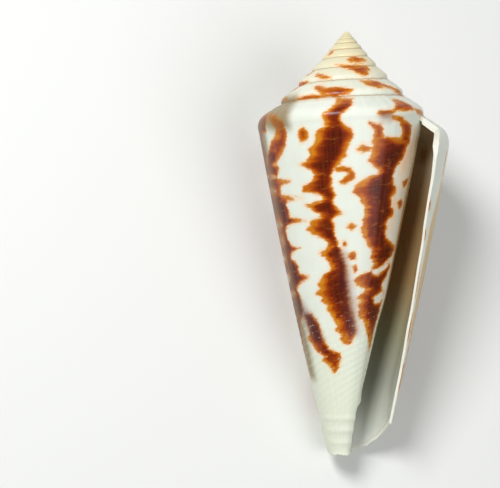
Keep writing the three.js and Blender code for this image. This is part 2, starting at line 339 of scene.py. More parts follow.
@dataclass(frozen=True)
class Relief:
    """The low relief of the outside, and the uneven edges. Lengths are in millimetres."""

    growth: Growth = field(default_factory=Growth)
    growth_ridge: float = 0.035
    thread: float = 0.03
    thread_spacing: float = 1.1
    cord: float = 0.03
    cord_count: float = 2.4
    scar: float = 0.16
    scar_depth: float = 39.8
    scar_azimuth: float = 40.0  # where the scar has its depth
    scar_slant: float = 0.012  # millimetres for each degree from there
    scar_width: float = 0.32
    lip_sweep: float = 0.028  # turns, and so is the notch
    lip_curve: float = 1.25  # how far the ends of the lip fall back, as a share of the sweep
    lip_notch: float = 0.0022
    swell: float = 0.024
    full_relief_radius: float = 8.0
    fold: float = 1.0
    fold_depth: float = 58.0
    upper_fold: float = 0.3
    tip_ridge: float = 0.13
    tip_ridge_depth: float = 59.4
    tip_ridge_spacing: float = 1.9

    def warp(self, turns: np.ndarray, station: np.ndarray) -> np.ndarray:
        """Bends the lip: forward at mid height, back at both ends, with small notches.

        Args:
            turns: Growth time of the sheet as it was laid out.
            station: Where on the outline.

        Returns:
            Growth time of the sheet as it is bent.
        """
        along = np.clip((station - 1.0) / 2.0, 0.0, 1.0)
        sweep = self.lip_sweep * (1.0 - self.lip_curve * (2.0 * along - 1.0) ** 2)
        notch = self.lip_notch * ripple(station, 0.16, 11)
        return turns + (sweep * smooth(turns, -0.14, 0.0)) + notch * smooth(turns, -0.02, 0.0)

    def height(self, turns: np.ndarray, station: np.ndarray, depth: np.ndarray) -> np.ndarray:
        """How far the surface stands proud of the smooth form.

        Args:
            turns: Growth time.
            station: Where on the outline.
            depth: Depth below the apex.

        Returns:
            Millimetres, under 0 where the surface is sunk.
        """
        radius = self.growth.radius(turns)
        azimuth = self.growth.azimuth(turns)
        relief = self._growth_lines(turns, station) + self._threads(turns, depth)
        relief = relief + self._healed_scar(azimuth, depth) + self._cords(station)
        whorl = self.swell * radius * np.sin(np.pi * np.clip(station, 0.0, 2.0) / 2.0)
        relief = relief * np.clip(radius / self.full_relief_radius, 0.15, 1.0)
        relief = relief + whorl * smooth(turns, 0.0, -0.12)
        relief = relief - self._folds(turns, depth) + self._tip_ridges(azimuth, depth)
        return relief * smooth(-turns, -0.005, 0.02)

    def _growth_lines(self, turns: np.ndarray, station: np.ndarray) -> np.ndarray:
        """Fine ridges parallel to the lip, strongest on the ramp."""
        ridges = ripple(turns, 0.021, 21) + 0.6 * ripple(turns, 0.009, 22)
        return self.growth_ridge * (0.5 + 0.8 * (station < 1.4)) * ridges

    def _threads(self, turns: np.ndarray, depth: np.ndarray) -> np.ndarray:
        """Spiral threads low on the side.

        Args:
            turns: Growth time.
            depth: Depth below the apex.

        Returns:
            Millimetres.
        """
        drop = (depth - self.growth.depth(turns)) / self.growth.radius(turns)
        threads = np.cos(2.0 * np.pi * drop * DROP_SCALE / self.thread_spacing)
        return self.thread * threads * smooth(depth, 36.0, 50.0) * smooth(depth, 60.0, 56.0)

    def _cords(self, station: np.ndarray) -> np.ndarray:
        """Low spiral cords on the ramp."""
        return self.cord * np.cos(2.0 * np.pi * station * self.cord_count) * smooth(station, 1.0, 0.7)

    def _healed_scar(self, azimuth: np.ndarray, depth: np.ndarray) -> np.ndarray:
        """A healed break on the back: a groove, with a ridge below it.

        Args:
            azimuth: In degrees.
            depth: Depth below the apex.

        Returns:
            Millimetres.
        """
        slant = self.scar_slant * (azimuth - self.scar_azimuth)
        from_scar = depth - (self.scar_depth + slant + 0.2 * ripple(azimuth, 14.0, 31))
        ridge = 0.5 * np.exp(-(((from_scar - 0.8) / 0.5) ** 2))
        groove = -np.exp(-((from_scar / self.scar_width) ** 2)) + ridge
        return self.scar * groove * smooth(azimuth, 2.0, 14.0) * smooth(azimuth, 86.0, 60.0)

    def _folds(self, turns: np.ndarray, depth: np.ndarray) -> np.ndarray:
        """How far the columella is drawn in beside the aperture.

        Args:
            turns: Growth time.
            depth: Depth below the apex.

        Returns:
            Millimetres inwards.
        """
        edge = smooth(turns, -1.16, -1.08) * smooth(turns, -0.90, -0.98)
        inward = self.upper_fold * smooth(depth, 40.0, 46.0) * smooth(depth, 57.5, 55.0)
        inward = inward + self.fold * smooth(depth, self.fold_depth - 1.2, self.fold_depth + 1.2)
        return edge * inward * smooth(depth, 66.0, 62.5)

    def _tip_ridges(self, azimuth: np.ndarray, depth: np.ndarray) -> np.ndarray:
        """Ridges round the tip of the columella.

        Args:
            azimuth: In degrees.
            depth: Depth below the apex.

        Returns:
            Millimetres.
        """
        phase = 2.0 * np.pi * (depth - self.tip_ridge_depth) / self.tip_ridge_spacing
        wave = 0.5 + 0.5 * np.cos(phase)
        return self.tip_ridge * smooth(depth, 58.2, 59.2) * smooth(azimuth, 190.0, 215.0) * wave**4


# ---------------------------------------------------------------- the markings


@dataclass(frozen=True)
class Band:
    """A flame that runs down the side. Each row is a depth, then its left and right azimuth."""

    rows: tuple[tuple[float, float, float], ...]

    def outline(self) -> list[tuple[float, float]]:
        """The closed outline.

        Returns:
            Azimuths and depths, in order round it.
        """
        left = [(low, depth) for depth, low, _ in self.rows]
        right = [(high, depth) for depth, _, high in self.rows]
        return left + right[::-1]


@dataclass(frozen=True)
class Spot:
    """A small mark. Its points are azimuths and depths, in order round the outline."""

    points: tuple[tuple[float, float], ...]

    def outline(self) -> list[tuple[float, float]]:
        """The closed outline, as azimuths and depths."""
        return list(self.points)


Mark = Band | Spot

FLAME_A = Band((
    (15.6, 19, 28), (16.6, 20, 29), (17.6, 17.5, 29.5), (18.6, 17, 29), (20, 13, 28), (21.4, 11.5, 28),
    (23, 11.5, 27), (24.4, 14, 27), (25.2, 18, 29), (26.2, 18, 27.5), (27.2, 15.5, 27), (28.4, 13, 28.5),
    (29, 19, 30), (30, 17.5, 29.5), (30.9, 15, 27.5), (32, 19.5, 27.5), (33.1, 19.5, 33), (34.1, 17, 30.5),
    (35.2, 20, 31), (36.6, 19.5, 33.5), (37.7, 21, 31), (38.6, 20, 33), (39.4, 17, 37), (39.9, 13, 36),
    (40.3, 14, 35), (41.2, 21, 35), (42.7, 21.5, 38), (44.1, 23.3, 40), (46.3, 25, 42.5), (48, 27, 45.5),
    (50, 29, 49), (52, 32.5, 53), (53.8, 35, 56.5), (55.6, 38.5, 59), (57.2, 43, 60), (58.4, 48, 57),
))
FLAME_B = Band((
    (15.3, 53, 57), (16.2, 51.5, 62), (17.7, 49.5, 61), (19, 48, 59), (20.6, 46.2, 57.5), (22, 44, 55.5),
    (23, 43.3, 54), (24, 46, 53.5), (25, 47.3, 56.5), (25.9, 47, 59.5), (27, 44.2, 56), (28.1, 47, 56.5),
    (29.1, 46, 58.5), (29.8, 49, 58), (30.6, 48.3, 60), (31.6, 50, 58), (32.7, 47.6, 61), (33.7, 48, 59),
    (34.7, 51, 58), (35.6, 50.3, 59), (36.6, 48.2, 61.6), (37.6, 49.5, 59.5), (38.3, 52.5, 57.5),
    (38.9, 47, 58), (39.4, 38, 60), (39.8, 45, 58), (40.3, 51, 62), (41.3, 53.5, 68), (42.7, 54.3, 70),
    (44.1, 55.5, 71.6), (46.3, 57.8, 75.5), (48, 60.5, 78.5), (50, 64.3, 83.5), (52, 69.5, 87.5),
    (53.4, 74, 90), (54.7, 78.5, 91), (55.4, 82, 87),
))
FLAME_C = Band((
    (15.0, 100, 110), (15.8, 94, 109.5), (16.8, 92, 109), (18.2, 91, 108.6), (19.5, 90.3, 108.4),
    (21, 88.2, 109), (22.2, 90.3, 108.2), (22.9, 92.6, 107), (23.3, 99.2, 106.5), (24, 98, 106.2),
    (24.5, 89.6, 106.3), (25.6, 87.6, 107), (27, 87.4, 107.6), (28.3, 87, 109), (28.8, 82.6, 109.4),
    (29.2, 87.5, 109), (30.5, 88.5, 109), (31.6, 88.5, 109.5), (32.4, 84, 110), (33, 89.4, 110.5),
    (34.4, 90.3, 111.5), (35.0, 92, 110.5), (35.4, 101.3, 109.5), (36, 101.8, 108), (36.6, 93.5, 104.5),
    (37.5, 85.8, 104), (38, 88, 107.5), (38.9, 89.5, 113), (40, 91.3, 114.5), (40.6, 89.2, 115.6),
    (41.4, 93.3, 116.6), (42.6, 92, 118), (43.2, 82.6, 118.8), (43.8, 92, 119.6), (44.4, 91.3, 120.6),
    (45.1, 80.9, 121.6), (45.9, 91, 122.6), (46.8, 91.6, 124), (47.5, 84, 125.6), (48.2, 91, 127),
    (49, 89, 129), (49.7, 85, 131), (50.6, 90, 132.6), (52, 95, 135.6), (53.4, 96.7, 138), (54.6, 101, 140),
    (55.8, 106, 142.3), (57, 114, 144.8), (58, 122, 146.5), (58.7, 130, 144),
))
FLAME_C_TOP = Spot((
    (94, 10.6), (100, 10.75), (112, 10.85), (118, 10.65), (125, 10.95), (127, 11.6), (124, 12.6),
    (121, 13.2), (112, 13.3), (103, 13.4), (97.5, 12.9), (96.3, 12),
))
FLAME_E = Band((
    (12.4, 166, 200), (13.2, 158, 202), (14.1, 151, 202), (14.6, 156, 201), (15.2, 158, 200),
    (16.2, 156, 198), (17, 149, 197), (18, 137, 195), (18.8, 133.6, 193), (19.9, 138, 190),
    (20.4, 140, 208), (21.1, 146.5, 210), (21.9, 150, 206), (22.6, 151.6, 205), (22.9, 150, 221),
    (23.8, 144, 208), (24.7, 139, 205), (25.2, 144, 207), (25.6, 146, 231), (26.0, 145, 214),
    (26.6, 143, 211), (27.4, 138, 212), (28.3, 133.9, 213), (28.9, 138, 231), (29.5, 143, 214),
    (30.0, 138, 206), (30.4, 135.1, 204), (31.1, 141, 203), (31.7, 144, 204), (32.6, 138, 207),
    (33.2, 136, 221), (33.8, 135, 207), (34.4, 139, 204), (34.9, 148, 203), (35.4, 146, 211),
    (35.9, 142.6, 214), (36.4, 147, 213), (36.9, 150.5, 214), (37.6, 144.5, 226), (38.2, 147, 215),
    (38.9, 153, 209), (39.5, 149, 204), (40.2, 143.5, 205), (41.3, 141.5, 207), (42.6, 138.4, 206),
    (43.3, 149, 207), (43.8, 160, 203), (44.3, 146, 197), (44.7, 138.4, 195), (45.3, 147, 193),
    (46, 151, 191), (46.8, 154, 188), (47.5, 151, 186), (48.3, 157, 184), (49.1, 150.5, 183),
    (49.7, 151, 181), (50.0, 160, 178),
))
FLAME_F_TOP = Band((
    (12.6, 203.5, 206), (13.4, 205, 215), (14, 209, 221), (15, 213, 222), (15.8, 212, 222.5),
    (16.8, 206, 222), (17.8, 201, 220), (18.7, 197, 217), (19.5, 192, 213), (20.3, 187, 207),
    (20.8, 185, 200),
))
FLAME_F_TAIL = Band((
    (43.2, 205, 221), (44.4, 209, 229), (45.6, 211.5, 231), (46.4, 211, 231.5), (47.2, 204, 234),
    (47.8, 212, 237), (48.6, 214, 241), (49.2, 221, 257), (49.8, 229, 259), (50.4, 226, 257),
    (51.1, 236, 254), (51.8, 240, 251), (52.2, 244, 248),
))
FLAME_G = Band((
    (10.6, 258, 274), (11.5, 259, 272), (12.3, 255.5, 269.5), (13.1, 250, 264), (14, 252, 263),
    (14.7, 253, 265), (15.3, 249, 271), (16.2, 245.5, 272), (17.2, 244.5, 270), (18.4, 239.5, 268),
    (19.3, 240.5, 267), (20.2, 236.5, 264), (20.8, 230.5, 261.5), (21.4, 240, 258), (22.2, 242.5, 256),
    (23.2, 239, 255.5), (23.9, 231.5, 256), (24.7, 231, 257), (25.2, 245, 258.5), (25.6, 249, 257.5),
    (26.1, 246, 256.5), (26.7, 230.5, 258), (27.3, 236, 260.5), (27.9, 242, 265), (28.4, 247, 258),
    (29.0, 236, 255.5), (29.6, 234, 256), (30.4, 230, 256.5), (31.2, 236, 257), (31.9, 249, 259),
    (32.8, 250.5, 260), (33.5, 247, 262), (34.1, 239.5, 262.5), (34.8, 247, 264), (35.6, 250, 266),
    (36.4, 250.5, 267.5), (37.1, 243, 268), (37.8, 240, 268.5), (38.6, 235.5, 269), (39.4, 237, 269.5),
    (40.1, 231, 270), (40.7, 240, 271), (41.3, 237.5, 272), (41.9, 245, 273), (42.6, 243, 274.5),
    (43.4, 247.5, 276.5), (44.2, 251, 279), (45, 254, 281), (45.7, 252.5, 282), (46.5, 259, 281),
    (47.1, 258.5, 278), (47.6, 264, 275), (47.9, 268, 273),
))
FLAME_H = Band((
    (16.5, 288, 324), (17.2, 287.5, 323.5), (17.9, 286.5, 322), (18.8, 287, 320), (19.6, 285.5, 319),
    (20.2, 283.5, 315), (20.8, 289, 311.5), (21.6, 296.5, 309.5), (22.2, 290, 309), (22.8, 281, 309.5),
    (23.5, 277, 312), (24.1, 274, 316), (24.8, 272.5, 315), (25.4, 277, 311), (26.2, 280, 311.5),
    (27, 283.5, 312), (27.6, 283.5, 317), (28.3, 284, 318), (28.8, 281.5, 312), (29.4, 283, 309.5),
    (30.1, 280, 310), (30.8, 280.5, 309), (31.6, 284.5, 312), (32.3, 287, 324), (32.9, 290, 333),
    (33.5, 296, 334), (34.2, 294.5, 330), (34.8, 294, 325), (35.3, 298, 318), (35.6, 300, 330),
    (36.0, 297, 331), (36.6, 295, 329), (37.1, 285.5, 327), (37.6, 278, 325), (38.2, 276.5, 321),
    (38.9, 279, 317), (39.3, 291, 322), (39.8, 289, 326), (40.3, 283.5, 328), (40.7, 280, 329),
    (41.2, 286, 328.5), (41.8, 281, 327.5), (42.4, 284.5, 327), (43, 283.5, 328), (43.7, 284, 327.5),
    (44.4, 293, 327), (45.3, 297, 326), (46.2, 301, 325.5), (47.2, 307, 324), (48.2, 313, 321.5),
    (49.0, 316.5, 319.5),
))
WIDE_MARKS: tuple[Mark, ...] = (
    FLAME_A, FLAME_B, FLAME_C, FLAME_C_TOP, FLAME_E, FLAME_F_TOP, FLAME_F_TAIL, FLAME_G, FLAME_H,
    Spot((  # the top of the flame nearest the lip, which starts along the suture
        (9, 12.3), (20, 12.1), (33, 11.8), (34, 12), (25, 12.6), (24, 13.5), (28, 14.6), (34, 15.3),
        (30, 16.6), (19.5, 16.6), (18, 15.6), (16, 14.6), (12, 14.2), (11, 13.2),
    )),
    Spot((  # slanting streak between the first two flames
        (41, 13.6), (46, 13), (50, 13.2), (52, 14.2), (51, 15), (45, 16), (40.5, 17.6), (37, 19.1),
        (33, 19.6), (33.4, 18.4), (36.5, 17), (40, 15.4),
    )),
    Spot((  # hook
        (83.5, 15.3), (85, 16.2), (81.5, 17), (78, 17.6), (78.5, 18.4), (90, 18.2), (92, 18.3),
        (92, 21), (86, 20.9), (71.5, 21), (72.5, 19.6), (71, 18.9), (72.5, 17.8), (76, 16.9), (79, 15.7),
    )),
    Spot((  # block at the top of the widest flame on the apertural side
        (309, 10.8), (316, 10.7), (324, 11.3), (327, 12.1), (318, 12.4), (305, 12.6), (301, 13.1),
        (293, 13.4), (289, 13.2), (289, 12.6), (297, 12.5), (303, 12.2), (306, 11.5),
    )),
    Spot((
        (300, 13.3), (308, 13.3), (318, 13.9), (324, 14.6), (325, 16), (324.6, 17.5), (311, 17.5),
        (313, 15.5), (309, 14.3), (302, 13.8),
    )),
    Spot((
        (282, 14.1), (287, 14.4), (294, 14.8), (296, 16.4), (298, 17.5), (286, 17.5), (288, 15.4),
        (283, 14.7),
    )),
)
SMALL_MARKS: tuple[Mark, ...] = (
    Spot(((327, 12.0), (338, 12.2), (347, 12.7), (340, 12.75), (330, 12.5))),
    Spot(((71.4, 24.2), (74, 23.4), (79, 23.6), (80.3, 24.4), (77, 25.2), (73, 25.2))),
    Spot(((61.7, 27.6), (64, 27), (67.4, 27.3), (68.6, 28.1), (65, 28.7), (62.6, 28.2))),
    Spot(((62.3, 31), (66.6, 30.7), (69, 31.8), (66.6, 32.4), (64.2, 32), (62.8, 31.8))),
    Spot(((76.2, 36.1), (80.6, 36), (81, 37), (77, 37.3))),
    Spot(((34, 32.8), (36, 32.7), (36.6, 33.3), (34.4, 33.5))),
    Spot(((36.2, 38.2), (39, 37.4), (43, 37.7), (44, 38.9), (40, 39.4), (36.6, 39.2))),
    Spot((  # figure like a three, upper bow
        (110.4, 21.5), (113, 20.8), (118, 20.8), (122, 21.5), (125.2, 22.8), (124, 24.1), (120, 24.6),
        (116.2, 24.4), (115.4, 23.8), (118, 23.2), (117.5, 22.2), (114.5, 21.7), (111.4, 22.1),
    )),
    Spot((  # and its lower bow
        (109, 25.2), (112, 24.4), (117, 24.9), (120.4, 25.6), (123.7, 26.4), (121, 27.2), (117, 27.4),
        (113, 28), (110.4, 27.8), (112.5, 27.1), (116, 26.7), (116.5, 26.1), (114, 25.5), (110.4, 25.9),
    )),
    Spot((
        (115, 29.7), (120, 29.7), (122.2, 30.4), (117.4, 30.8), (119.2, 31.4), (121.4, 31.9),
        (124.4, 32.4), (120, 33), (116, 33.5), (112.4, 33.3), (115, 32.4), (112, 31.8), (111.4, 31),
        (114.4, 31), (115, 30.4),
    )),
    Spot(((120.8, 35), (123, 34.6), (125.4, 35.1), (123, 35.5))),
    Spot(((116.4, 38), (119, 36.9), (123, 37), (128.6, 37.6), (124, 38.1), (121, 38.7), (118, 38.6))),
    Spot((
        (117, 39.7), (121, 38.9), (126, 39.4), (131.2, 39.9), (126.4, 40.6), (122, 41.3),
        (118, 41.1), (120, 40.3),
    )),
    Spot((
        (119, 15.3), (123, 14.7), (126, 14.4), (129.5, 14.6), (128.6, 15.3), (125, 15.8),
        (124.4, 16.8), (120, 17.3), (117.8, 16.6),
    )),
    Spot((
        (134.4, 15.1), (137, 14.9), (139.4, 15.9), (143.4, 17.2), (142, 18.4), (134, 18.6),
        (136.4, 17.2), (137, 16),
    )),
    Spot(((233.4, 15.4), (237, 15.2), (239.6, 15.9), (239, 16.9), (234, 17.1))),
    Spot((  # little hook with a dark head
        (258, 21.2), (264, 21), (270, 21.3), (273.6, 21.9), (273, 22.6), (270, 22.9), (266, 23.4),
        (263, 23.3), (267, 22.6), (270, 22), (266, 21.6), (260, 21.6),
    )),
    Spot(((268, 29.9), (272, 29.5), (276, 29.8), (272, 30.3))),
    Spot(((264.6, 32.2), (266.4, 32.1), (266.2, 32.7), (264.8, 32.7))),
    Spot(((270, 34.3), (274, 33.9), (277, 34.3), (275, 34.9), (272, 34.8))),
    Spot(((274.6, 36), (277, 35.9), (279, 36.4), (277, 36.8))),
    Spot(((275, 18.4), (279, 17.7), (283, 17.9), (286, 18.3), (280, 18.8))),
    Spot(((325, 23.2), (330, 22.8), (335, 22.6), (334, 23.4), (328, 23.9))),
    Spot(((322, 26.3), (327, 25.9), (331, 26.4), (327, 27))),
)
SPIRE_MARKS: tuple[Mark, ...] = (
    Spot(((208, 3.0), (213, 2.75), (222, 2.8), (227, 3.15), (220, 3.5), (210, 3.4))),
    Spot(((268, 4.4), (276, 3.9), (290, 3.85), (300, 3.9), (312, 4.3), (300, 4.8), (275, 4.8))),
    Spot((
        (247, 5.2), (265, 5.2), (290, 5.2), (308, 5.3), (309, 5.8), (300, 6.2), (296, 6.9), (288, 6.9),
        (280, 6.5), (275, 6.0), (262, 5.7),
    )),
    Spot(((176, 6), (186, 5.9), (198, 6), (203, 6.3), (196, 6.6), (180, 6.6))),
    Spot(((219, 6.6), (228, 6.6), (240, 6.9), (248, 7.3), (238, 7.5), (228, 7.1))),
    Spot((
        (165, 7.5), (180, 7.4), (195, 7.6), (212, 7.6), (206, 8.2), (198, 8.8), (190, 9.1),
        (180, 9.1), (172, 8.2),
    )),
    Spot((
        (284, 7.8), (290, 7.7), (306, 7.7), (312, 8.2), (322, 8.5), (335, 9.1), (345, 9.7), (336, 9.9),
        (325, 9.3), (312, 8.8), (300, 8.9), (290, 8.6),
    )),
    Spot((
        (230, 8.4), (236, 8.5), (247, 8.9), (262, 8.9), (274, 9.2), (270, 9.9), (258, 10.4),
        (245, 10.2), (238, 9.2),
    )),
    Spot(((214, 10.35), (225, 10.1), (240, 10.0), (250, 10.3), (240, 10.6), (216, 10.65))),
    Spot(((74, 3.1), (86, 2.9), (98, 2.9), (105, 3.1), (92, 3.4), (80, 3.35))),
    Spot(((37, 4.6), (44, 4.2), (58, 4.2), (63, 4.7), (56, 5.1), (40, 5.1))),
    Spot((
        (15, 6.9), (22, 6.4), (40, 6.2), (53, 6.0), (48, 6.9), (46, 7.6), (40, 8.2), (30, 8.6),
        (22, 8.1), (16, 7.4),
    )),
    Spot((
        (55, 8.0), (65, 7.9), (75, 7.7), (90, 7.75), (98, 8.0), (104, 8.7), (118, 9.15), (134, 9.3),
        (137, 9.8), (128, 10.4), (118, 10.6), (114, 10.3), (117, 9.8), (108, 9.4), (98, 9.3), (78, 9.3),
        (68, 8.8), (62, 8.3),
    )),
    Spot(((108, 6.8), (114, 6.6), (122, 6.7), (126, 7), (120, 7.3), (110, 7.3))),
    Spot(((140, 3.8), (150, 3.7), (178, 3.9), (186, 4.4), (178, 5.1), (155, 5.1), (147, 4.6))),
    Spot((
        (5, 10), (30, 9.9), (45, 10.1), (55, 10.3), (64, 10.7), (56, 10.9), (52, 11.4), (45, 11.1),
        (38, 10.8), (15, 10.7),
    )),
    Spot(((156, 10.4), (170, 10.3), (186, 10.1), (202, 10.1), (202, 10.5), (180, 10.6), (160, 10.6))),
)
LIP_MARKS: tuple[Mark, ...] = (
    Spot((
        (-8, 41), (2, 40), (14, 40.5), (18, 45), (21, 50), (24, 54), (24, 58), (12, 58.6), (4, 54),
        (0, 48),
    )),
    Spot(((-19, 18.6), (-17.4, 18), (-16.4, 20), (-17, 22.6), (-18.6, 21.6))),
    Spot(((-37, 26.2), (-32.5, 25.9), (-32, 27.3), (-36, 27.8))),
    Spot(((-36, 30.6), (-32, 30.2), (-31.5, 31.9), (-35, 32.6))),
    Spot(((-34.5, 36), (-31.2, 35.8), (-29.4, 40.6), (-32.6, 41.4))),
    Spot(((-31.6, 43.4), (-27.6, 43), (-25.6, 47), (-28.6, 48))),
    Spot(((-26.6, 51), (-22, 50.8), (-19, 54.6), (-23.6, 55.6))),
)
WHITE_ISLANDS: tuple[Mark, ...] = (
    Spot(((297, 14.4), (302, 14.1), (307, 14.6), (309, 15.6), (306, 16.2), (299, 16.1), (296, 15.2))),
    Spot(((297, 36.4), (307, 36.2), (318, 35.6), (325, 35.6), (319, 36.5), (306, 37.2), (298, 37.3))),
    Spot(((304, 40.8), (314, 40.2), (327, 39.6), (330, 40.7), (322, 41.6), (309, 41.6))),
    Spot(((192, 15.4), (200, 15.6), (206, 16.4), (201, 17.6), (195, 18.8), (191, 18.4), (190.5, 16.4))),
    Spot(((178, 22.1), (196, 22), (203, 22.3), (192, 22.5))),
    Spot(((178, 24.2), (190, 24), (198, 24.4), (190, 24.8))),
    Spot(((182, 29.4), (194, 29.2), (198, 29.7), (190, 30.2), (183, 30))),
    Spot(((184, 31.8), (194, 31.6), (196, 32.2), (188, 32.6))),
    Spot(((180, 34.6), (188, 34.3), (190, 34.9), (184, 35.1))),
    Spot(((178, 37.4), (188, 37), (192, 37.6), (186, 38.5), (180, 38.4))),
    Spot(((180, 40.1), (194, 39.9), (198, 40.3), (184, 40.6))),
    Spot(((92, 48.5), (101, 48.45), (101, 48.75), (92, 48.8))),
    Spot(((92, 46.2), (99, 46.1), (99, 46.5), (92, 46.5))),
)
VIOLET_ZONES: tuple[Mark, ...] = (
    Band(((40.6, 26, 36), (44, 29, 41), (48, 34, 47), (52, 41, 54), (56, 48, 60), (57.4, 50, 60))),
    Band(((40.6, 58, 68), (44, 61, 72), (48, 68, 79), (52, 77, 88), (54.6, 83, 91))),
    Band(((34, 261, 264), (38, 265, 270), (42, 270, 276), (46, 276, 282))),
    Spot(((102, 13.2), (118, 13.2), (116, 14.6), (110, 15.4), (102, 15.2))),
    Spot(((293, 13.2), (299, 13.2), (299, 13.8), (294, 13.8))),
    Band(((41, 194, 204), (43.6, 200, 220), (47, 216, 231))),
)
DARK_ZONES: tuple[Mark, ...] = (
    Band(((10, 15, 32), (20, 12, 30), (40, 15, 36), (58, 46, 58))),
    Band(((13, 40, 62), (20, 44, 60), (40, 46, 62), (55, 80, 90))),
    Band(((10.8, 97, 122), (16, 100, 110), (22, 96, 106), (36, 98, 106), (44, 100, 112), (56, 118, 138))),
    Spot(((108, 20), (128, 20), (132, 41), (116, 42), (108, 30))),
    Band(((14, 150, 200), (22, 150, 205), (30, 140, 158), (40, 150, 205), (49, 156, 180))),
    Band(((26, 204, 218), (42, 190, 210), (46, 214, 230), (51, 240, 252))),
    Band(((12, 254, 266), (15, 252, 262), (19, 248, 260), (23, 243, 254), (27, 240, 256), (33, 251, 259),
          (38, 246, 268), (42, 252, 270), (46, 266, 278))),
    Band(((19, 296, 312), (24, 286, 308), (31, 286, 306), (34, 300, 326), (41, 292, 322), (45, 304, 322))),
)
HALO_ZONES: tuple[Mark, ...] = (
    Band(((15, 110, 114), (20, 109, 111), (27, 108, 110.5), (33, 110, 112), (38, 108, 113), (44, 120, 123),
          (50, 131, 134), (55, 140, 143), (58, 145, 147))),
    Band(((14.8, 325, 334), (20, 318, 330), (26, 314, 324), (31, 311, 318))),
    Spot(((112, 13), (126, 11.6), (127, 13.4), (118, 15.4), (114, 15.6))),
)
# Olive tan: the spot on the shoulder is a tan patch of the shell; the bands, which run beside the shell's
# edges, are painted shade.
TAN_AND_EDGE_SHADE_ZONES: tuple[Mark, ...] = (
    Spot(((172, 10.2), (214, 10.2), (224, 12.6), (225, 14.8), (214, 15.2), (200, 14.4), (180, 15.8))),
    Band(((40, -6, 14), (46, -2, 19), (52, 2, 23), (57, 8, 25))),
    Band(((23, 158, 176), (28, 160, 180), (33, 162, 178))),
    Band(((45, 184, 200), (49, 182, 200), (53, 182, 198))),
    Band(((15, 186, 196), (30, 186, 196), (45, 186, 196))),
)
GOLD_ZONES: tuple[Mark, ...] = (
    Band(((23, -18, -12), (26, -21, -6), (30, -25, 2), (40, -25, 4), (48, -21, 4), (54, -17, 2),
          (58, -10, 0))),
)
OCHRE_SPOTS: tuple[Mark, ...] = (
    Spot(((23, 17.6), (26, 17.2), (30, 17.8), (30, 19.2), (26, 19.8), (23, 19))),
)


class Field:
    """Signed distances to outlines on the shell, in millimetres: above 0 inside."""

    far: float = 4.0  # no distance is told beyond this
    last_azimuth: float = 336.0  # an outline that passes it goes on over the outer lip

    def __init__(self, azimuth: np.ndarray, depth: np.ndarray, radius: np.ndarray) -> None:
        """Keeps where the points are.

        Args:
            azimuth: In degrees, from the lip to one turn on.
            depth: In millimetres.
            radius: In millimetres, so that an azimuth becomes a length.
        """
        self.azimuth = azimuth
        self.depth = depth
        self.scale = np.radians(1.0) * np.maximum(radius, 0.5)

    def of(self, mark: Mark) -> np.ndarray:
        """Distance to one outline, from the points as they are and from one turn further on.

        Args:
            mark: The outline.

        Returns:
            Millimetres, above 0 inside.
        """
        points = mark.outline()
        found = self._distance(points, self.azimuth)
        if max(azimuth for azimuth, _ in points) > self.last_azimuth:
            found = np.maximum(found, self._distance(points, self.azimuth + 360.0))
        return found

    def _distance(self, points: Sequence[tuple[float, float]], azimuth: np.ndarray) -> np.ndarray:
        """Distance to one outline.

        Args:
            points: Azimuths and depths round the outline.
            azimuth: The azimuths to measure from.

        Returns:
            Millimetres, above 0 inside, and never under minus the far distance.
        """
        table = np.array(points, float)
        low, high = table.min(0), table.max(0)
        margin = self.far / self.scale
        near = (azimuth > low[0] - margin) & (azimuth < high[0] + margin)
        near &= (self.depth > low[1] - self.far) & (self.depth < high[1] + self.far)
        result = np.full(azimuth.shape, -self.far)
        x, y, scale = azimuth[near], self.depth[near], self.scale[near]
        least = np.full(x.shape, self.far**2)
        inside = np.zeros(x.shape, bool)
        for (ax, ay), (bx, by) in zip(points, [*points[1:], points[0]]):
            run, rise = (bx - ax) * scale, by - ay
            px, py = (x - ax) * scale, y - ay
            share = np.clip((px * run + py * rise) / (run * run + rise * rise + 1e-9), 0.0, 1.0)
            least = np.minimum(least, (px - share * run) ** 2 + (py - share * rise) ** 2)
            if ay != by:
                crosses = (y < ay) != (y < by)
                inside ^= crosses & (x < ax + (bx - ax) * (y - ay) / (by - ay))
        result[near] = np.where(inside, 1.0, -1.0) * np.sqrt(least)
        return result

    def union(self, marks: Sequence[Mark]) -> np.ndarray:
        """Distance to the nearest of several outlines."""
        return np.maximum.reduce([self.of(mark) for mark in marks])

    def from_left(self, bands: Sequence[Band]) -> np.ndarray:
        """How far right of its flame's left edge each point is.

        Args:
            bands: The flames.

        Returns:
            Millimetres, and 0 outside the flames.
        """
        result = np.zeros(self.azimuth.shape)
        for band in bands:
            depths, lows, highs = np.array(band.rows).T
            left = np.interp(self.depth, depths, lows)
            right = np.interp(self.depth, depths, highs)
            inside = (self.azimuth > left) & (self.azimuth < right)
            inside &= (self.depth > depths[0]) & (self.depth < depths[-1])
            result = np.where(inside, (self.azimuth - left) * self.scale, result)
        return result


# ---------------------------------------------------------------- the shell as a mesh


class Skin(IntEnum):
    """The material slots of the shell's mesh, in order."""

    OUTSIDE = 0
    INSIDE = 1
    EDGE = 2


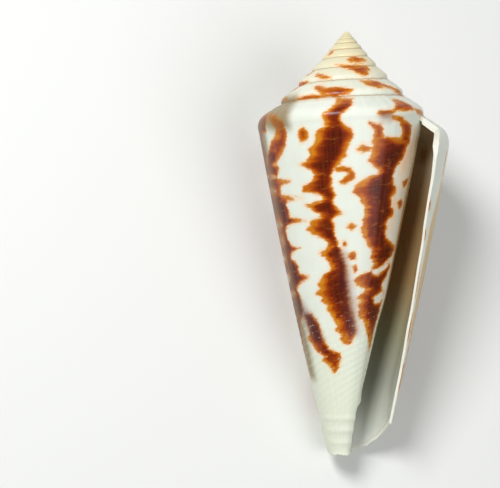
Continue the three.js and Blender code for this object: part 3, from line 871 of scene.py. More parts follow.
@dataclass
class ShellWall:
    """The wall of the shell: a sheet that coils as it grows, given its thickness."""

    growth: Growth = field(default_factory=Growth)
    relief: Relief = field(default_factory=Relief)
    oldest: float = -10.0
    full_from: float = -1.75  # the whorls before this one are only their ramp and shoulder
    tuck: float = -0.5  # the first station, under the earlier whorl
    last_columns: int = 110
    inner_columns: int = 48
    spire_columns_per_turn: int = 80
    ramp_rows: int = 4
    shoulder_rows: int = 4
    side_rows: int = 50
    base_rows: int = 3
    refine: int = 2
    refined_spire: float = -4.5
    weld: float = 0.002
    wall: float = 1.2
    inner_wall: float = 0.6
    lip_wall: float = 0.38
    lip_shoulder_wall: float = 0.6
    canal_wall: float = 0.55
    thickest: float = 2.0
    thinning_turns: float = 0.25
    probe: float = 0.01  # stations to each side, to find which way is out
    rest_side: float = 108.0
    rest_pitch: float = 11.15
    rest_flat: float = 0.1
    small_mark_swell: float = 0.14
    darkening: float = 0.35  # depth of colour gained for each millimetre from a flame's left edge
    other_core: float = 0.8  # the most depth of colour of a mark that is no flame
    hidden_below: float = 2.04  # from this station down, an earlier whorl lies inside the last
    nucleus_radius: float = 0.62
    nucleus_sink: float = 0.25
    nucleus_segments: int = 32
    nucleus_rings: int = 16

    def build(self, skins: Sequence[bpy.types.Material]) -> bpy.types.Object:
        """Makes the mesh, in the shell's own frame.

        Args:
            skins: The materials, in the order of Skin.

        Returns:
            The shell as one object, with its markings as attributes.
        """
        ramp = self._steps(0.0, 1.0, self.ramp_rows)
        top = [self.tuck, *ramp, *self._steps(1.0, 2.0, self.shoulder_rows)[1:]]
        below = [*self._steps(2.0, 3.0, self.side_rows)[1:], *self._steps(3.0, 4.0, self.base_rows)[1:]]
        spire_columns = round((self.full_from - self.oldest) * self.spire_columns_per_turn)
        spire_turns = self._steps(self.oldest, self.full_from, spire_columns)
        inner_turns = self._steps(self.full_from, -1.0, self.inner_columns)
        last_turns = self._steps(-1.0, 0.0, self.last_columns)
        sheet = self._sheet("sheet", [*inner_turns, *last_turns[1:]], [*top, *below])
        spire = self._sheet("spire", spire_turns, top)
        shell = join([sheet, spire], "cone_shell")
        self._weld(shell)
        self._thicken(shell, skins)
        self._refine(shell)
        self._shape(shell)
        self._mark(shell)
        return join([shell, self._nucleus(skins[Skin.OUTSIDE])], "cone_shell")

    def _nucleus(self, skin: bpy.types.Material) -> bpy.types.Object:
        """The smooth bulb of the first whorl, which closes the tip of the spire.

        Args:
            skin: Its material.

        Returns:
            The bulb.
        """
        depth = float(self.growth.depth(np.array(self.oldest)))
        bpy.ops.object.select_all(action="DESELECT")
        bpy.ops.mesh.primitive_uv_sphere_add(
            segments=self.nucleus_segments, ring_count=self.nucleus_rings,
            radius=self.nucleus_radius * MM, location=(0.0, 0.0, -(depth + self.nucleus_sink) * MM),
        )
        nucleus = bpy.context.object
        nucleus.data.materials.append(skin)
        bpy.ops.object.transform_apply(location=True, rotation=False, scale=False)
        unmarked = np.full(len(nucleus.data.vertices), -Field.far)
        write_numbers(nucleus.data, "marking", unmarked)
        write_numbers(nucleus.data, "core", unmarked)
        return nucleus

    def _steps(self, start: float, end: float, count: int) -> list[float]:
        """Evenly spaced numbers, both ends included."""
        return [start + (end - start) * step / count for step in range(count + 1)]

    def _sheet(self, name: str, turns: Sequence[float], stations: Sequence[float]) -> bpy.types.Object:
        """A grid rolled up by the growth law.

        A spiral that grows by a law of its own can't be drawn out by hand, so each vertex of the
        grid is sent to its place, and keeps its growth time and its station as attributes.

        Args:
            name: The object's name.
            turns: Growth time of each column.
            stations: Station of each row.

        Returns:
            The sheet.
        """
        bpy.ops.object.select_all(action="DESELECT")
        bpy.ops.mesh.primitive_grid_add(
            x_subdivisions=len(turns) - 1, y_subdivisions=len(stations) - 1, size=2.0
        )
        sheet = bpy.context.object
        sheet.name = name
        flat = read_places(sheet.data)
        column = np.round((flat[:, 0] + 1.0) / 2.0 * (len(turns) - 1)).astype(int)
        row = np.round((flat[:, 1] + 1.0) / 2.0 * (len(stations) - 1)).astype(int)
        write_numbers(sheet.data, "turns", np.array(turns)[column])
        write_numbers(sheet.data, "station", np.array(stations)[row])
        write_places(sheet.data, self._positions(sheet.data, 0.0))
        return sheet

    def _positions(self, mesh: bpy.types.Mesh, relief: float) -> np.ndarray:
        """Where the growth law puts each vertex, in metres.

        Args:
            mesh: A mesh with the attributes turns and station.
            relief: Share of the low relief to add, 0 or 1.

        Returns:
            One row of coordinates for each vertex.
        """
        turns = read_numbers(mesh, "turns")
        station = read_numbers(mesh, "station")
        warped = self.relief.warp(turns, station)
        radius, depth = self.growth.place(warped, station)
        if relief:
            after = self.growth.place(warped, station + self.probe)
            before = self.growth.place(warped, station - self.probe)
            run, drop = after - before
            length = np.hypot(run, drop) + 1e-9
            height = relief * self.relief.height(warped, station, depth)
            radius = radius + height * drop / length
            depth = depth - height * run / length
        angle = np.radians(self.growth.azimuth(warped))
        return np.stack([radius * np.cos(angle), radius * np.sin(angle), -depth], axis=1) * MM

    def _wall_at(self, turns: np.ndarray, station: np.ndarray) -> np.ndarray:
        """Thickness of the wall: thinner at the lip, along the canal and in the earlier whorls.

        Args:
            turns: Growth time.
            station: Where on the outline.

        Returns:
            Millimetres.
        """
        radius, _ = self.growth.place(turns, station)
        thinned = np.clip((-1.0 - turns) / self.thinning_turns, 0.0, 1.0)
        wall = self.wall + (self.inner_wall - self.wall) * thinned
        near_lip = smooth(turns, -0.06, 0.0)
        lip_wall = self.lip_wall + self.lip_shoulder_wall * smooth(station, 2.2, 1.7)
        wall = wall + (lip_wall - wall) * near_lip
        canal = smooth(turns, -0.36, -0.28) * smooth(station, 2.85, 3.0)
        wall = wall + (self.canal_wall - wall) * canal * (1 - near_lip)
        return np.minimum(wall, 0.5 * radius)

    def _thicken(self, shell: bpy.types.Object, skins: Sequence[bpy.types.Material]) -> None:
        """Gives the sheet its wall, inwards.

        Args:
            shell: The sheet.
            skins: The materials, in the order of Skin.
        """
        mesh = shell.data
        wall = self._wall_at(read_numbers(mesh, "turns"), read_numbers(mesh, "station"))
        weights = wall / self.thickest
        group = shell.vertex_groups.new(name="wall")
        for index, weight in enumerate(weights):
            group.add([index], float(weight), "REPLACE")
        modifier = shell.modifiers.new("wall", "SOLIDIFY")
        modifier.thickness = self.thickest * MM
        modifier.offset = -1.0
        modifier.vertex_group = group.name
        modifier.material_offset = int(Skin.INSIDE)
        modifier.material_offset_rim = int(Skin.EDGE)
        for skin in skins:
            mesh.materials.append(skin)
        activate(shell)
        bpy.ops.object.modifier_apply(modifier=modifier.name)

    def _refine(self, shell: bpy.types.Object) -> None:
        """Splits the outside of the last whorl, and of the younger spire, into finer facets.

        Args:
            shell: The shell, with its wall.
        """
        mesh = shell.data
        for youngest, oldest, cuts in ((0.01, -1.001, self.refine), (-1.001, self.refined_spire, 1)):
            turns = read_numbers(mesh, "turns")
            middle = np.array([np.mean(turns[list(face.vertices)]) for face in mesh.polygons])
            station = read_numbers(mesh, "station")
            low = np.array([np.min(station[list(face.vertices)]) for face in mesh.polygons])
            skin = np.zeros(len(mesh.polygons), int)
            mesh.polygons.foreach_get("material_index", skin)
            chosen = (skin == Skin.OUTSIDE) & (middle < youngest) & (middle > oldest)
            if cuts == 1:
                chosen &= low < 2.0
            self._select_faces(shell, chosen)
            bpy.ops.object.mode_set(mode="EDIT")
            bpy.ops.mesh.subdivide(number_cuts=cuts, smoothness=0.0)
            bpy.ops.object.mode_set(mode="OBJECT")

    def _shape(self, shell: bpy.types.Object) -> None:
        """Sends the finer facets of the outside to the true surface, with its relief.

        Args:
            shell: The shell, refined.
        """
        mesh = shell.data
        outside = self._vertices_of(mesh, Skin.OUTSIDE)
        places = read_places(mesh)
        exact = self._positions(mesh, 1.0)
        places[outside] = exact[outside]
        write_places(mesh, places)

    def _vertices_of(self, mesh: bpy.types.Mesh, skin: Skin) -> np.ndarray:
        """Which vertices belong to faces of one slot.

        Args:
            mesh: The mesh.
            skin: The slot.

        Returns:
            True or False for each vertex.
        """
        mask = np.zeros(len(mesh.vertices), bool)
        for face in mesh.polygons:
            if face.material_index == skin:
                mask[list(face.vertices)] = True
        return mask

    def _mark(self, shell: bpy.types.Object) -> None:
        """Stores what the finishes need to know about each vertex.

        Args:
            shell: The shell, in its final shape.
        """
        mesh = shell.data
        station = read_numbers(mesh, "station")
        turns = self.relief.warp(read_numbers(mesh, "turns"), station)
        places = read_places(mesh) / MM
        depth = -places[:, 2]
        lip = self.growth.lip_azimuth
        azimuth = (self.growth.azimuth(turns) - lip) % 360.0 + lip
        azimuth = np.where(turns > 0, self.growth.azimuth(turns), azimuth)
        outlines = Field(azimuth, depth, np.hypot(places[:, 0], places[:, 1]))
        self._store_flames(mesh, outlines)
        for name, zones, low, high in (
            ("dark", DARK_ZONES, -1.4, 1.0),
            ("violet", VIOLET_ZONES, -1.3, 0.7),
            ("halo", HALO_ZONES, -0.9, 0.5),
            ("tan", TAN_AND_EDGE_SHADE_ZONES, -1.5, 0.6),
            # olive tan: a tan patch, and painted shade beside the edges
            ("gold", GOLD_ZONES, -1.1, 0.6),
            ("ochre", OCHRE_SPOTS, -0.9, 0.4),
        ):
            write_numbers(mesh, name, smooth(outlines.union(zones), low, high))
        write_numbers(mesh, "suture", smooth(station, 0.16, 0.0) * (station < 1.0))
        self._store_strata(mesh, turns, depth)
        self._line_the_inside(mesh, turns, station)

    def _store_flames(self, mesh: bpy.types.Mesh, outlines: Field) -> None:
        """Stores how far inside a flame each vertex is, and how deep in its colour.

        Args:
            mesh: The shell's mesh.
            outlines: The vertices, ready to be measured.
        """
        marking = outlines.union([*WIDE_MARKS, *SPIRE_MARKS, *LIP_MARKS])
        marking = np.maximum(marking, outlines.union(SMALL_MARKS) + self.small_mark_swell)
        marking = np.minimum(marking, -outlines.union(WHITE_ISLANDS))
        left = outlines.from_left([mark for mark in WIDE_MARKS if isinstance(mark, Band)])
        limit = np.where(left > 0, self.darkening * left, self.other_core)
        core = np.minimum(marking, limit)
        write_numbers(mesh, "marking", marking)
        write_numbers(mesh, "core", core)

    def _store_strata(self, mesh: bpy.types.Mesh, turns: np.ndarray, depth: np.ndarray) -> None:
        """Stores the place that patterns follow: along the growth, down the side, and the depth.

        Args:
            mesh: The shell's mesh.
            turns: Growth time.
            depth: Depth below the apex.
        """
        drop = (depth - self.growth.depth(turns)) / self.growth.radius(turns)
        strata = np.stack([turns * TURN_SCALE, drop * DROP_SCALE, depth], axis=1)
        attribute = mesh.attributes.new("strata", "FLOAT_VECTOR", "POINT")
        attribute.data.foreach_set("vector", strata.astype(np.float32).ravel())

    def _line_the_inside(self, mesh: bpy.types.Mesh, turns: np.ndarray, station: np.ndarray) -> None:
        """Gives the earlier whorls, where the aperture looks in on them, the inside's material.

        Args:
            mesh: The shell's mesh.
            turns: Growth time.
            station: Where on the outline.
        """
        for face in mesh.polygons:
            corners = list(face.vertices)
            earlier = np.mean(turns[corners]) < -1.0
            below = np.min(station[corners]) > self.hidden_below
            if earlier and below and face.material_index == Skin.OUTSIDE:
                face.material_index = int(Skin.INSIDE)

    def _weld(self, shell: bpy.types.Object) -> None:
        """Merges the seam of the two sheets, and turns the faces outwards.

        Args:
            shell: The two sheets, joined.
        """
        activate(shell)
        bpy.ops.object.mode_set(mode="EDIT")
        bpy.ops.mesh.select_all(action="SELECT")
        bpy.ops.mesh.remove_doubles(threshold=self.weld * MM)
        bpy.ops.object.mode_set(mode="OBJECT")
        mesh = shell.data
        outward = sum(
            face.normal.x * face.center.x + face.normal.y * face.center.y for face in mesh.polygons
        )
        if outward < 0.0:
            bpy.ops.object.mode_set(mode="EDIT")
            bpy.ops.mesh.select_all(action="SELECT")
            bpy.ops.mesh.flip_normals()
            bpy.ops.object.mode_set(mode="OBJECT")

    def _select_faces(self, shell: bpy.types.Object, chosen: np.ndarray) -> None:
        """Selects some faces and nothing else, for an operator in edit mode.

        Args:
            shell: The shell.
            chosen: True or False for each face.
        """
        activate(shell)
        bpy.ops.object.mode_set(mode="EDIT")
        bpy.ops.mesh.select_mode(type="FACE")
        bpy.ops.mesh.select_all(action="DESELECT")
        bpy.ops.object.mode_set(mode="OBJECT")
        shell.data.polygons.foreach_set("select", chosen)


@dataclass
class Lying:
    """How the shell lies: on its back, with the axis a little raised towards the apex."""

    wall: ShellWall
    matrix: Matrix = field(default_factory=Matrix)

    def lay_down(self, shell: bpy.types.Object) -> None:
        """Turns the shell on its back, sets it in the frame's box and flattens its resting strip.

        Args:
            shell: The shell, in its own frame.
        """
        roll = Matrix.Rotation(math.radians(90.0 - self.wall.rest_side), 4, "Z")
        turn = Matrix.Rotation(math.radians(self.wall.rest_pitch - 90.0), 4, "X") @ roll
        places = read_places(shell.data) @ np.array(turn.to_3x3()).T
        low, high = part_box("shell")
        middle = (places.min(0) + places.max(0)) / 2.0
        target = (np.array(low) + np.array(high)) / 2.0
        shift = target - middle
        shift[2] = -places[:, 2].min() - self.wall.rest_flat * MM
        places += shift
        places[:, 2] = np.maximum(places[:, 2], 0.0)
        write_places(shell.data, places)
        self.matrix = Matrix.Translation(Vector(shift)) @ turn

    def point(self, x: float, y: float, z: float) -> Vector:
        """A point of the shell's own frame, in millimetres, in the lying frame, in metres."""
        return self.matrix @ (Vector((x, y, z)) * MM)

    def direction(self, x: float, y: float, z: float) -> Vector:
        """A direction of the shell's own frame, in the lying frame."""
        return (self.matrix.to_3x3() @ Vector((x, y, z))).normalized()


# ---------------------------------------------------------------- finishes


def add_node(
    tree: bpy.types.NodeTree,
    kind: str,
    links: dict[Any, bpy.types.NodeSocket] | None = None,
    values: dict[Any, Any] | None = None,
    **settings: Any,
) -> bpy.types.Node:
    """Adds a node with its settings, its constants and its links.

    Args:
        tree: The node tree to add it to.
        kind: The node's type.
        links: For each input, by name or number, the output that feeds it.
        values: For each input, by name or number, its constant.
        **settings: The node's own properties.

    Returns:
        The node.
    """
    node = tree.nodes.new(kind)
    for name, value in settings.items():
        setattr(node, name, value)
    for key, value in (values or {}).items():
        node.inputs[key].default_value = value
    for key, socket in (links or {}).items():
        tree.links.new(socket, node.inputs[key])
    return node


@dataclass(frozen=True)
class Stop:
    """One colour of a ramp: its place from 0 to 1, and its sRGB hex code."""

    place: float
    code: str


def set_stops(node: bpy.types.Node, stops: Sequence[Stop]) -> None:
    """Gives a colour ramp its stops.

    Args:
        node: The ramp's node.
        stops: The colours, in the order of their places.
    """
    ramp = node.color_ramp
    while len(ramp.elements) > 1:
        ramp.elements.remove(ramp.elements[-1])
    ramp.elements[0].position = stops[0].place
    ramp.elements[0].color = linear_colour(stops[0].code)
    for stop in stops[1:]:
        element = ramp.elements.new(stop.place)
        element.color = linear_colour(stop.code)


class Finish:
    """A material under way: its tree, and short ways to add what all the finishes need."""

    lump_depth: float = 50.0  # millimetres along the third of the strata, so lumps hardly change
    noise_roughness: float = 0.55
    mix_share: int = 0  # the inputs and the output of a colour mix, by number
    mix_colours: tuple[int, int] = (6, 7)
    mix_result: int = 2

    def __init__(self, name: str) -> None:
        """Starts a material with only a Principled shader and its output.

        Args:
            name: The material's name.
        """
        self.material = bpy.data.materials.new(name)
        self.material.use_nodes = True
        self.tree = self.material.node_tree
        self.tree.nodes.clear()
        output = add_node(self.tree, "ShaderNodeOutputMaterial")
        self.shader = add_node(self.tree, "ShaderNodeBsdfPrincipled")
        self.tree.links.new(self.shader.outputs["BSDF"], output.inputs["Surface"])

    def number(self, name: str) -> bpy.types.NodeSocket:
        """A number that the mesh holds for each vertex."""
        return add_node(self.tree, "ShaderNodeAttribute", attribute_name=name).outputs["Fac"]

    def vector(self, name: str) -> bpy.types.NodeSocket:
        """A vector that the mesh holds for each vertex."""
        return add_node(self.tree, "ShaderNodeAttribute", attribute_name=name).outputs["Vector"]

    def noise(
        self, place: bpy.types.NodeSocket, size: tuple[float, float], detail: float = 2.0
    ) -> bpy.types.NodeSocket:
        """Noise whose lumps have a given size.

        Args:
            place: The strata of the shell.
            size: Millimetres along the growth and down the side.
            detail: How many finer layers of noise are added.

        Returns:
            Numbers from 0 to 1.
        """
        scale = tuple(1.0 / length for length in (*size, self.lump_depth))
        mapped = add_node(self.tree, "ShaderNodeMapping", {"Vector": place}, {"Scale": scale})
        node = add_node(
            self.tree, "ShaderNodeTexNoise", {"Vector": mapped.outputs[0]},
            {"Scale": 1.0, "Detail": detail, "Roughness": self.noise_roughness},
        )
        return node.outputs["Fac"]

    def sums(self, operation: str, *terms: Any) -> bpy.types.NodeSocket:
        """Arithmetic on numbers and sockets.

        Args:
            operation: The operation's name.
            *terms: Numbers or sockets, in order.

        Returns:
            The result.
        """
        node = add_node(self.tree, "ShaderNodeMath", operation=operation)
        for index, term in enumerate(terms):
            if isinstance(term, (int, float)):
                node.inputs[index].default_value = term
            else:
                self.tree.links.new(term, node.inputs[index])
        return node.outputs[0]

    def part(self, share: float, value: bpy.types.NodeSocket) -> bpy.types.NodeSocket:
        """A share of a value."""
        return self.sums("MULTIPLY", value, share)

    def swing(self, value: bpy.types.NodeSocket, width: float) -> bpy.types.NodeSocket:
        """Noise turned into a swing of a given width about 0."""
        return self.sums("MULTIPLY", self.sums("SUBTRACT", value, 0.5), width)

    def depth(self, strata: bpy.types.NodeSocket) -> bpy.types.NodeSocket:
        """The depth that the strata hold, in millimetres below the apex."""
        return add_node(self.tree, "ShaderNodeSeparateXYZ", {"Vector": strata}).outputs[2]

    def ease(self, value: bpy.types.NodeSocket, low: float, high: float) -> bpy.types.NodeSocket:
        """Runs smoothly from 0 at low to 1 at high.

        Args:
            value: The number to ease.
            low: Where the result is 0.
            high: Where the result is 1. It may be under low.

        Returns:
            Numbers from 0 to 1.
        """
        node = add_node(
            self.tree, "ShaderNodeMapRange", {"Value": value}, {"From Min": low, "From Max": high},
            interpolation_type="SMOOTHSTEP",
        )
        return node.outputs[0]

    def ramp(self, value: bpy.types.NodeSocket, stops: Sequence[Stop]) -> bpy.types.NodeSocket:
        """A colour for each value.

        Args:
            value: From 0 to 1.
            stops: The colours, in the order of their places.

        Returns:
            The colour.
        """
        node = add_node(self.tree, "ShaderNodeValToRGB", {"Fac": value})
        set_stops(node, stops)
        return node.outputs["Color"]

    def mix(self, share: bpy.types.NodeSocket, first: Any, second: Any) -> bpy.types.NodeSocket:
        """Mixes two colours.

        Args:
            share: How much of the second colour to take.
            first: A socket or a hex code.
            second: A socket or a hex code.

        Returns:
            The mixed colour.
        """
        node = add_node(self.tree, "ShaderNodeMix", data_type="RGBA")
        self.tree.links.new(share, node.inputs[self.mix_share])
        for key, term in zip(self.mix_colours, (first, second)):
            if isinstance(term, str):
                node.inputs[key].default_value = linear_colour(term)
            else:
                self.tree.links.new(term, node.inputs[key])
        return node.outputs[self.mix_result]

    def paint(self, colour: bpy.types.NodeSocket) -> None:
        """Feeds the shader's base colour."""
        self.tree.links.new(colour, self.shader.inputs["Base Color"])

    def constants(self, **values: float) -> None:
        """Sets numbers that are the same all over, on the shader's own sockets."""
        for name, value in values.items():
            self.shader.inputs[name.replace("_", " ")].default_value = value


@dataclass(frozen=True)
class GlazedShell:
    """Aragonite, laid down in growth lines and polished by the sea: glossy and a little waxy.

    Flames of rust to chocolate brown lie in the top layer. Their older edge is golden and frayed
    along the spiral, and they fade to violet where the colour thins out over white.
    """

    whites: tuple[str, str, str] = ("#e3e6dc", "#d2d9cb", "#dbe1cd")  # ground, its clouds, low down
    browns: tuple[str, ...] = ("#cb8518", "#b45804", "#8c3300", "#691a00", "#460b00")  # edge to heart
    brown_places: tuple[float, ...] = (0.0, 0.2, 0.45, 0.72, 1.0)
    tip_white: str = "#d9ca98"  # the worn, creamy tip of the spire
    growth_white: str = "#d8d9cb"  # faint greyer lines in the white
    halo_colour: str = "#eebd8a"  # the apricot blush beside a flame
    violet_white: str = "#b3a09b"  # white with thin colour over it
    violet_brown: str = "#3c1f22"  # brown where it thins out
    tan_and_edge_shade_white: str = "#7d6226"  # olive tan on the white: a tan patch, and painted shade beside the edges
    tan_and_edge_shade_brown: str = "#85591c"  # and on the brown, with the same painted shade
    growth_brown: str = "#8f4410"  # rusty lines in the flames
    speck_brown: str = "#a85f1c"  # lighter specks in the flames
    suture_colour: str = "#94653a"  # the line where two whorls meet
    dash_white: str = "#f3efe6"  # small pale dashes on the threads
    golds: tuple[str, str] = ("#e0cc8e", "#b8862f")  # the streaky golden lip
    fray_width: float = 0.9
    fine_fray_width: float = 0.42
    thread_spacing: float = Relief.thread_spacing

    def make(self) -> bpy.types.Material:
        """Makes the material.

        Returns:
            The glaze of the outside.
        """
        finish = Finish("glazed_aragonite")
        strata = finish.vector("strata")
        edge, core = self._edges(finish, strata)
        colour = self._ground(finish, strata, edge)
        crisp = finish.ease(edge, -0.2, 0.16)
        faded = finish.ease(edge, -1.2, 0.6)
        cover = add_node(
            finish.tree, "ShaderNodeMix", {0: finish.number("violet"), 2: crisp, 3: faded},
        ).outputs[0]
        colour = finish.mix(cover, colour, self._flame(finish, strata, core))
        colour = self._threads(finish, strata, colour)
        colour = finish.mix(finish.part(0.85, finish.number("suture")), colour, self.suture_colour)
        finish.paint(colour)
        self._surface(finish, strata)
        return finish.material

    def _edges(self, finish: Finish, strata: bpy.types.NodeSocket) -> tuple[Any, Any]:
        """Frays the outline of the flames along the spiral.

        Args:
            finish: The material under way.
            strata: Where the patterns are.

        Returns:
            How far inside the outline a point is, and how deep in the colour, in millimetres.
        """
        fray = finish.swing(finish.noise(strata, (3.2, 0.75), 3.0), self.fray_width)
        fine = finish.swing(finish.noise(strata, (1.1, 0.32), 2.0), self.fine_fray_width)
        both = finish.sums("ADD", fray, fine)
        edge = finish.sums("ADD", finish.number("marking"), both)
        core = finish.sums("ADD", finish.number("core"), finish.part(0.8, both))
        return edge, core

    def _ground(self, finish: Finish, strata: Any, edge: Any) -> bpy.types.NodeSocket:
        """The white ground, its cream base, the tints beside the flames, and an olive tan that is partly a
        tan patch and partly painted shade beside the edges.

        Args:
            finish: The material under way.
            strata: Where the patterns are.
            edge: How far inside a flame's outline a point is.

        Returns:
            The colour.
        """
        white = finish.mix(finish.noise(strata, (9.0, 6.0)), self.whites[0], self.whites[1])
        depth = finish.depth(strata)
        white = finish.mix(finish.ease(depth, 40.0, 54.0), white, self.whites[2])
        white = finish.mix(finish.part(0.8, finish.ease(depth, 12.0, 1.0)), white, self.tip_white)
        lines = finish.ease(finish.noise(strata, (0.5, 14.0), 3.0), 0.5, 0.8)
        white = finish.mix(finish.part(0.35, lines), white, self.growth_white)
        white = finish.mix(finish.part(0.5, finish.ease(edge, -0.6, 0.0)), white, self.halo_colour)
        patchy = finish.ease(finish.noise(strata, (2.0, 5.0)), 0.25, 0.6)
        halo = finish.sums("MULTIPLY", finish.number("halo"), patchy)
        white = finish.mix(finish.part(0.7, halo), white, self.halo_colour)
        white = finish.mix(finish.part(0.85, finish.number("violet")), white, self.violet_white)
        # Olive tan over the white: a tan patch, and painted shade beside the edges.
        white = finish.mix(finish.part(0.85, finish.number("tan")), white, self.tan_and_edge_shade_white)
        streaks = finish.ease(finish.noise(strata, (0.5, 16.0), 2.0), 0.2, 0.75)
        golden = finish.mix(streaks, self.golds[0], self.golds[1])
        gold = finish.sums("MULTIPLY", finish.number("gold"), finish.ease(streaks, -0.8, 0.5))
        return finish.mix(gold, white, golden)

    def _flame(self, finish: Finish, strata: Any, core: Any) -> bpy.types.NodeSocket:
        """The browns of a flame, from its golden edge to its dark heart.

        Args:
            finish: The material under way.
            strata: Where the patterns are.
            core: How deep in the colour a point is.

        Returns:
            The colour.
        """
        shift = finish.swing(finish.noise(strata, (4.2, 1.7), 3.0), 1.5)
        keep = finish.ease(core, 0.05, 0.45)
        dark = finish.sums("MULTIPLY", finish.part(0.65, finish.number("dark")), keep)
        inward = finish.ease(finish.sums("ADD", finish.sums("ADD", core, shift), dark), -0.2, 1.95)
        stops = [Stop(place, code) for place, code in zip(self.brown_places, self.browns)]
        brown = finish.ramp(inward, stops)
        lines = finish.ease(finish.noise(strata, (0.45, 9.0), 3.0), 0.3, 0.75)
        brown = finish.mix(finish.part(0.22, lines), brown, self.growth_brown)
        specks = finish.ease(finish.noise(strata, (1.8, 0.5), 3.0), 0.54, 0.74)
        brown = finish.mix(finish.part(0.4, specks), brown, self.speck_brown)
        brown = finish.mix(finish.part(0.75, finish.number("violet")), brown, self.violet_brown)
        # Olive tan over the browns: a tan patch, and painted shade beside the edges.
        return finish.mix(finish.part(0.6, finish.number("tan")), brown, self.tan_and_edge_shade_brown)

    def _threads(self, finish: Finish, strata: Any, colour: Any) -> bpy.types.NodeSocket:
        """Rows of small pale dashes along the spiral threads, towards the base.

        Args:
            finish: The material under way.
            strata: Where the patterns are.
            colour: The colour under the dashes.

        Returns:
            The colour.
        """
        parts = add_node(finish.tree, "ShaderNodeSeparateXYZ", {"Vector": strata})
        phase = finish.part(2.0 * math.pi / self.thread_spacing, parts.outputs[1])
        crest = finish.ease(finish.sums("COSINE", phase), 0.8, 0.97)
        dash = finish.ease(finish.noise(strata, (1.3, 0.6), 1.0), 0.52, 0.62)
        low = finish.ease(parts.outputs[2], 40.0, 47.0)
        share = finish.sums("MULTIPLY", finish.sums("MULTIPLY", crest, dash), low)
        return finish.mix(finish.part(0.3, share), colour, self.dash_white)

    def _surface(self, finish: Finish, strata: Any) -> None:
        """Gloss, depth of the glaze, and the finest growth lines as bump.

        Args:
            finish: The material under way.
            strata: Where the patterns are.
        """
        finish.constants(
            Roughness=0.3, IOR=1.5, Specular_IOR_Level=0.22, Coat_Weight=0.04, Coat_Roughness=0.12,
            Subsurface_Weight=0.03, Subsurface_Scale=0.0008,
        )
        lines = finish.noise(strata, (0.4, 10.0), 4.0)
        across = finish.noise(strata, (8.0, 0.5), 2.0)
        height = finish.sums("ADD", lines, finish.part(0.6, across))
        bump = add_node(
            finish.tree, "ShaderNodeBump", {"Height": height}, {"Strength": 0.35, "Distance": 0.00006}
        )
        finish.tree.links.new(bump.outputs[0], finish.shader.inputs["Normal"])


@dataclass(frozen=True)
class Porcelain:
    """The smooth inner layer of aragonite: cream at the top, tan in the middle as painted shade far in,
    bluish grey to white low down as painted light where light falls in.
    """

    top: str = "#f4e4c6"  # cream under the shoulder
    deep: str = "#c9a673"  # painted shade: a darker warm tan far in, where shade falls
    between: str = "#b9b594"
    low: str = "#b3b8aa"  # painted light: cool grey low down, where light falls in
    base: str = "#dfe3dc"  # white by the canal
    streak_colour: str = "#b9a984"  # old growth lines showing through
    ochre: str = "#a8702a"  # a stain
    top_depth: float = 10.0
    base_depth: float = 65.0

    def make(self) -> bpy.types.Material:
        """Makes the material.

        Returns:
            The lining of the inside.
        """
        finish = Finish("inner_porcelain_painted_light_and_shade")
        strata = finish.vector("strata")
        ends = {"From Min": self.top_depth, "From Max": self.base_depth}
        share = add_node(finish.tree, "ShaderNodeMapRange", {"Value": finish.depth(strata)}, ends)
        # Painted light and shade down the inside: cream at the top, darker tan far in where shade falls,
        # lighter grey and white low down where light falls in.
        stops = [
            Stop(0.0, self.top), Stop(0.15, self.top), Stop(0.3, self.deep), Stop(0.5, self.deep),
            Stop(0.64, self.between), Stop(0.78, self.low), Stop(1.0, self.base),
        ]
        colour = finish.ramp(share.outputs[0], stops)
        colour = finish.mix(finish.part(0.8, finish.number("ochre")), colour, self.ochre)
        streak = finish.noise(strata, (1.2, 20.0), 2.0)
        finish.paint(finish.mix(finish.part(0.25, streak), colour, self.streak_colour))
        finish.constants(Roughness=0.22, IOR=1.55, Coat_Weight=0.4, Coat_Roughness=0.1)
        return finish.material


@dataclass(frozen=True)
class CutEdge:
    """The thin rim of the lip and the base, where all the layers of aragonite end: chalky cream."""

    colour: str = "#e9ece4"  # chalky white
    mottle_colour: str = "#d9d5c2"  # with creamy patches

    def make(self) -> bpy.types.Material:
        """Makes the material.

        Returns:
            The matt rim.
        """
        finish = Finish("rim_aragonite")
        mottle = finish.noise(finish.vector("strata"), (1.0, 1.0), 3.0)
        finish.paint(finish.mix(mottle, self.colour, self.mottle_colour))
        finish.constants(Roughness=0.4, IOR=1.55)
        return finish.material


@dataclass(frozen=True)
class ConeShell:
    """The whole object: one shell, grown in one piece."""

    wall: ShellWall = field(default_factory=ShellWall)
    crease: float = 42.0  # degrees between two facets that stay sharp

    def build(self) -> Lying:
        """Makes the shell, dresses it and hands it to the frame.

        Returns:
            How it lies.
        """
        finishes = {Skin.OUTSIDE: GlazedShell(), Skin.INSIDE: Porcelain(), Skin.EDGE: CutEdge()}
        shell = self.wall.build([finishes[skin].make() for skin in Skin])
        lying = Lying(self.wall)
        lying.lay_down(shell)
        activate(shell)
        bpy.ops.object.shade_smooth_by_angle(angle=math.radians(self.crease))
        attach(shell, "root")
        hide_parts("shell")
        log.info("%s: %d faces", shell.name, len(shell.data.polygons))
        return lying


# ---------------------------------------------------------------- the studio


@dataclass(frozen=True)
class Lamp:
    """A round soft light: its offset from the shell's middle in millimetres, size in metres, watts."""

    name: str
    offset: tuple[float, float, float]
    size: float
    power: float


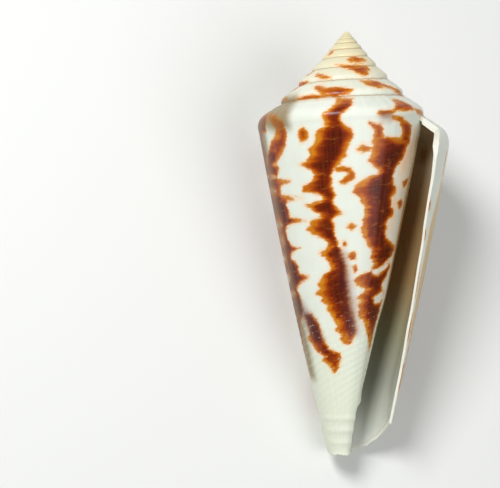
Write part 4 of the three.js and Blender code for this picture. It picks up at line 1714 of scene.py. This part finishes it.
@dataclass(frozen=True)
class Studio:
    """A pale floor, soft light and the camera. Lengths in millimetres, but the floor's in metres."""

    lens: float = 150.0
    sensor: float = 36.0
    view_width: float = 77.5
    aim_x: float = -14.96
    aim_z: float = -32.55
    nearest: float = 0.01  # the camera shows nothing closer, in metres
    middle_depth: float = 30.0
    lamps: tuple[Lamp, ...] = (
        Lamp("key_light", (-110.0, -290.0, 180.0), 0.14, 1.2),
        Lamp("fill_light", (200.0, -260.0, -80.0), 0.3, 0.55),
    )
    floor_size: float = 3.0
    floor_colour: str = "#dfe0dd"  # pale neutral grey, which hardly tints the shell
    sky_colour: str = "#f4f6f8"  # an overcast sky
    sky_strength: float = 0.22

    def build(self, lying: Lying) -> None:
        """Adds the floor, the lights and the camera.

        Args:
            lying: Where the shell lies.
        """
        self._floor()
        self._camera(lying)
        self._lights(lying)

    def _floor(self) -> None:
        """A plain pale floor."""
        bpy.ops.object.select_all(action="DESELECT")
        bpy.ops.mesh.primitive_plane_add(size=self.floor_size)
        floor = bpy.context.object
        floor.name = "floor"
        finish = Finish("pale_floor")
        finish.shader.inputs["Base Color"].default_value = linear_colour(self.floor_colour)
        finish.constants(Roughness=0.8)
        floor.data.materials.append(finish.material)

    def _camera(self, lying: Lying) -> None:
        """A long lens, square to the coiling axis, looking into the aperture.

        Args:
            lying: Where the shell lies.
        """
        data = bpy.data.cameras.new("camera")
        data.lens = self.lens
        data.sensor_width = self.sensor
        data.clip_start = self.nearest
        camera = bpy.data.objects.new("camera", data)
        bpy.context.scene.collection.objects.link(camera)
        distance = self.view_width * self.lens / self.sensor
        right = lying.direction(1, 0, 0)
        up = lying.direction(0, 0, 1)
        back = lying.direction(0, -1, 0)
        turn = Matrix((right, up, back)).transposed()
        place = lying.point(self.aim_x, -distance, self.aim_z)
        camera.matrix_world = Matrix.Translation(place) @ turn.to_4x4()
        bpy.context.scene.camera = camera

    def _lights(self, lying: Lying) -> None:
        """One large soft light over the shell, one weaker from the other side, and a pale sky.

        Args:
            lying: Where the shell lies.
        """
        middle = lying.point(0.0, 0.0, -self.middle_depth)
        for lamp in self.lamps:
            data = bpy.data.lights.new(lamp.name, "AREA")
            data.shape = "DISK"
            data.size = lamp.size
            data.energy = lamp.power
            light = bpy.data.objects.new(lamp.name, data)
            bpy.context.scene.collection.objects.link(light)
            x, y, z = lamp.offset
            place = lying.point(x, y, z - self.middle_depth)
            light.location = place
            light.rotation_euler = (middle - place).to_track_quat("-Z", "Y").to_euler()
        world = bpy.data.worlds.new("sky")
        world.use_nodes = True
        background = world.node_tree.nodes["Background"]
        background.inputs["Color"].default_value = linear_colour(self.sky_colour)
        background.inputs["Strength"].default_value = self.sky_strength
        bpy.context.scene.world = world
        bpy.context.scene.view_settings.view_transform = "Standard"


def main() -> None:
    """Builds the shell and its studio."""
    logging.basicConfig(level=logging.INFO, format="%(name)s: %(message)s")
    lying = ConeShell().build()
    Studio().build(lying)
    log.info("studio: floor, lights and camera")


if __name__ == "__main__":
    main()
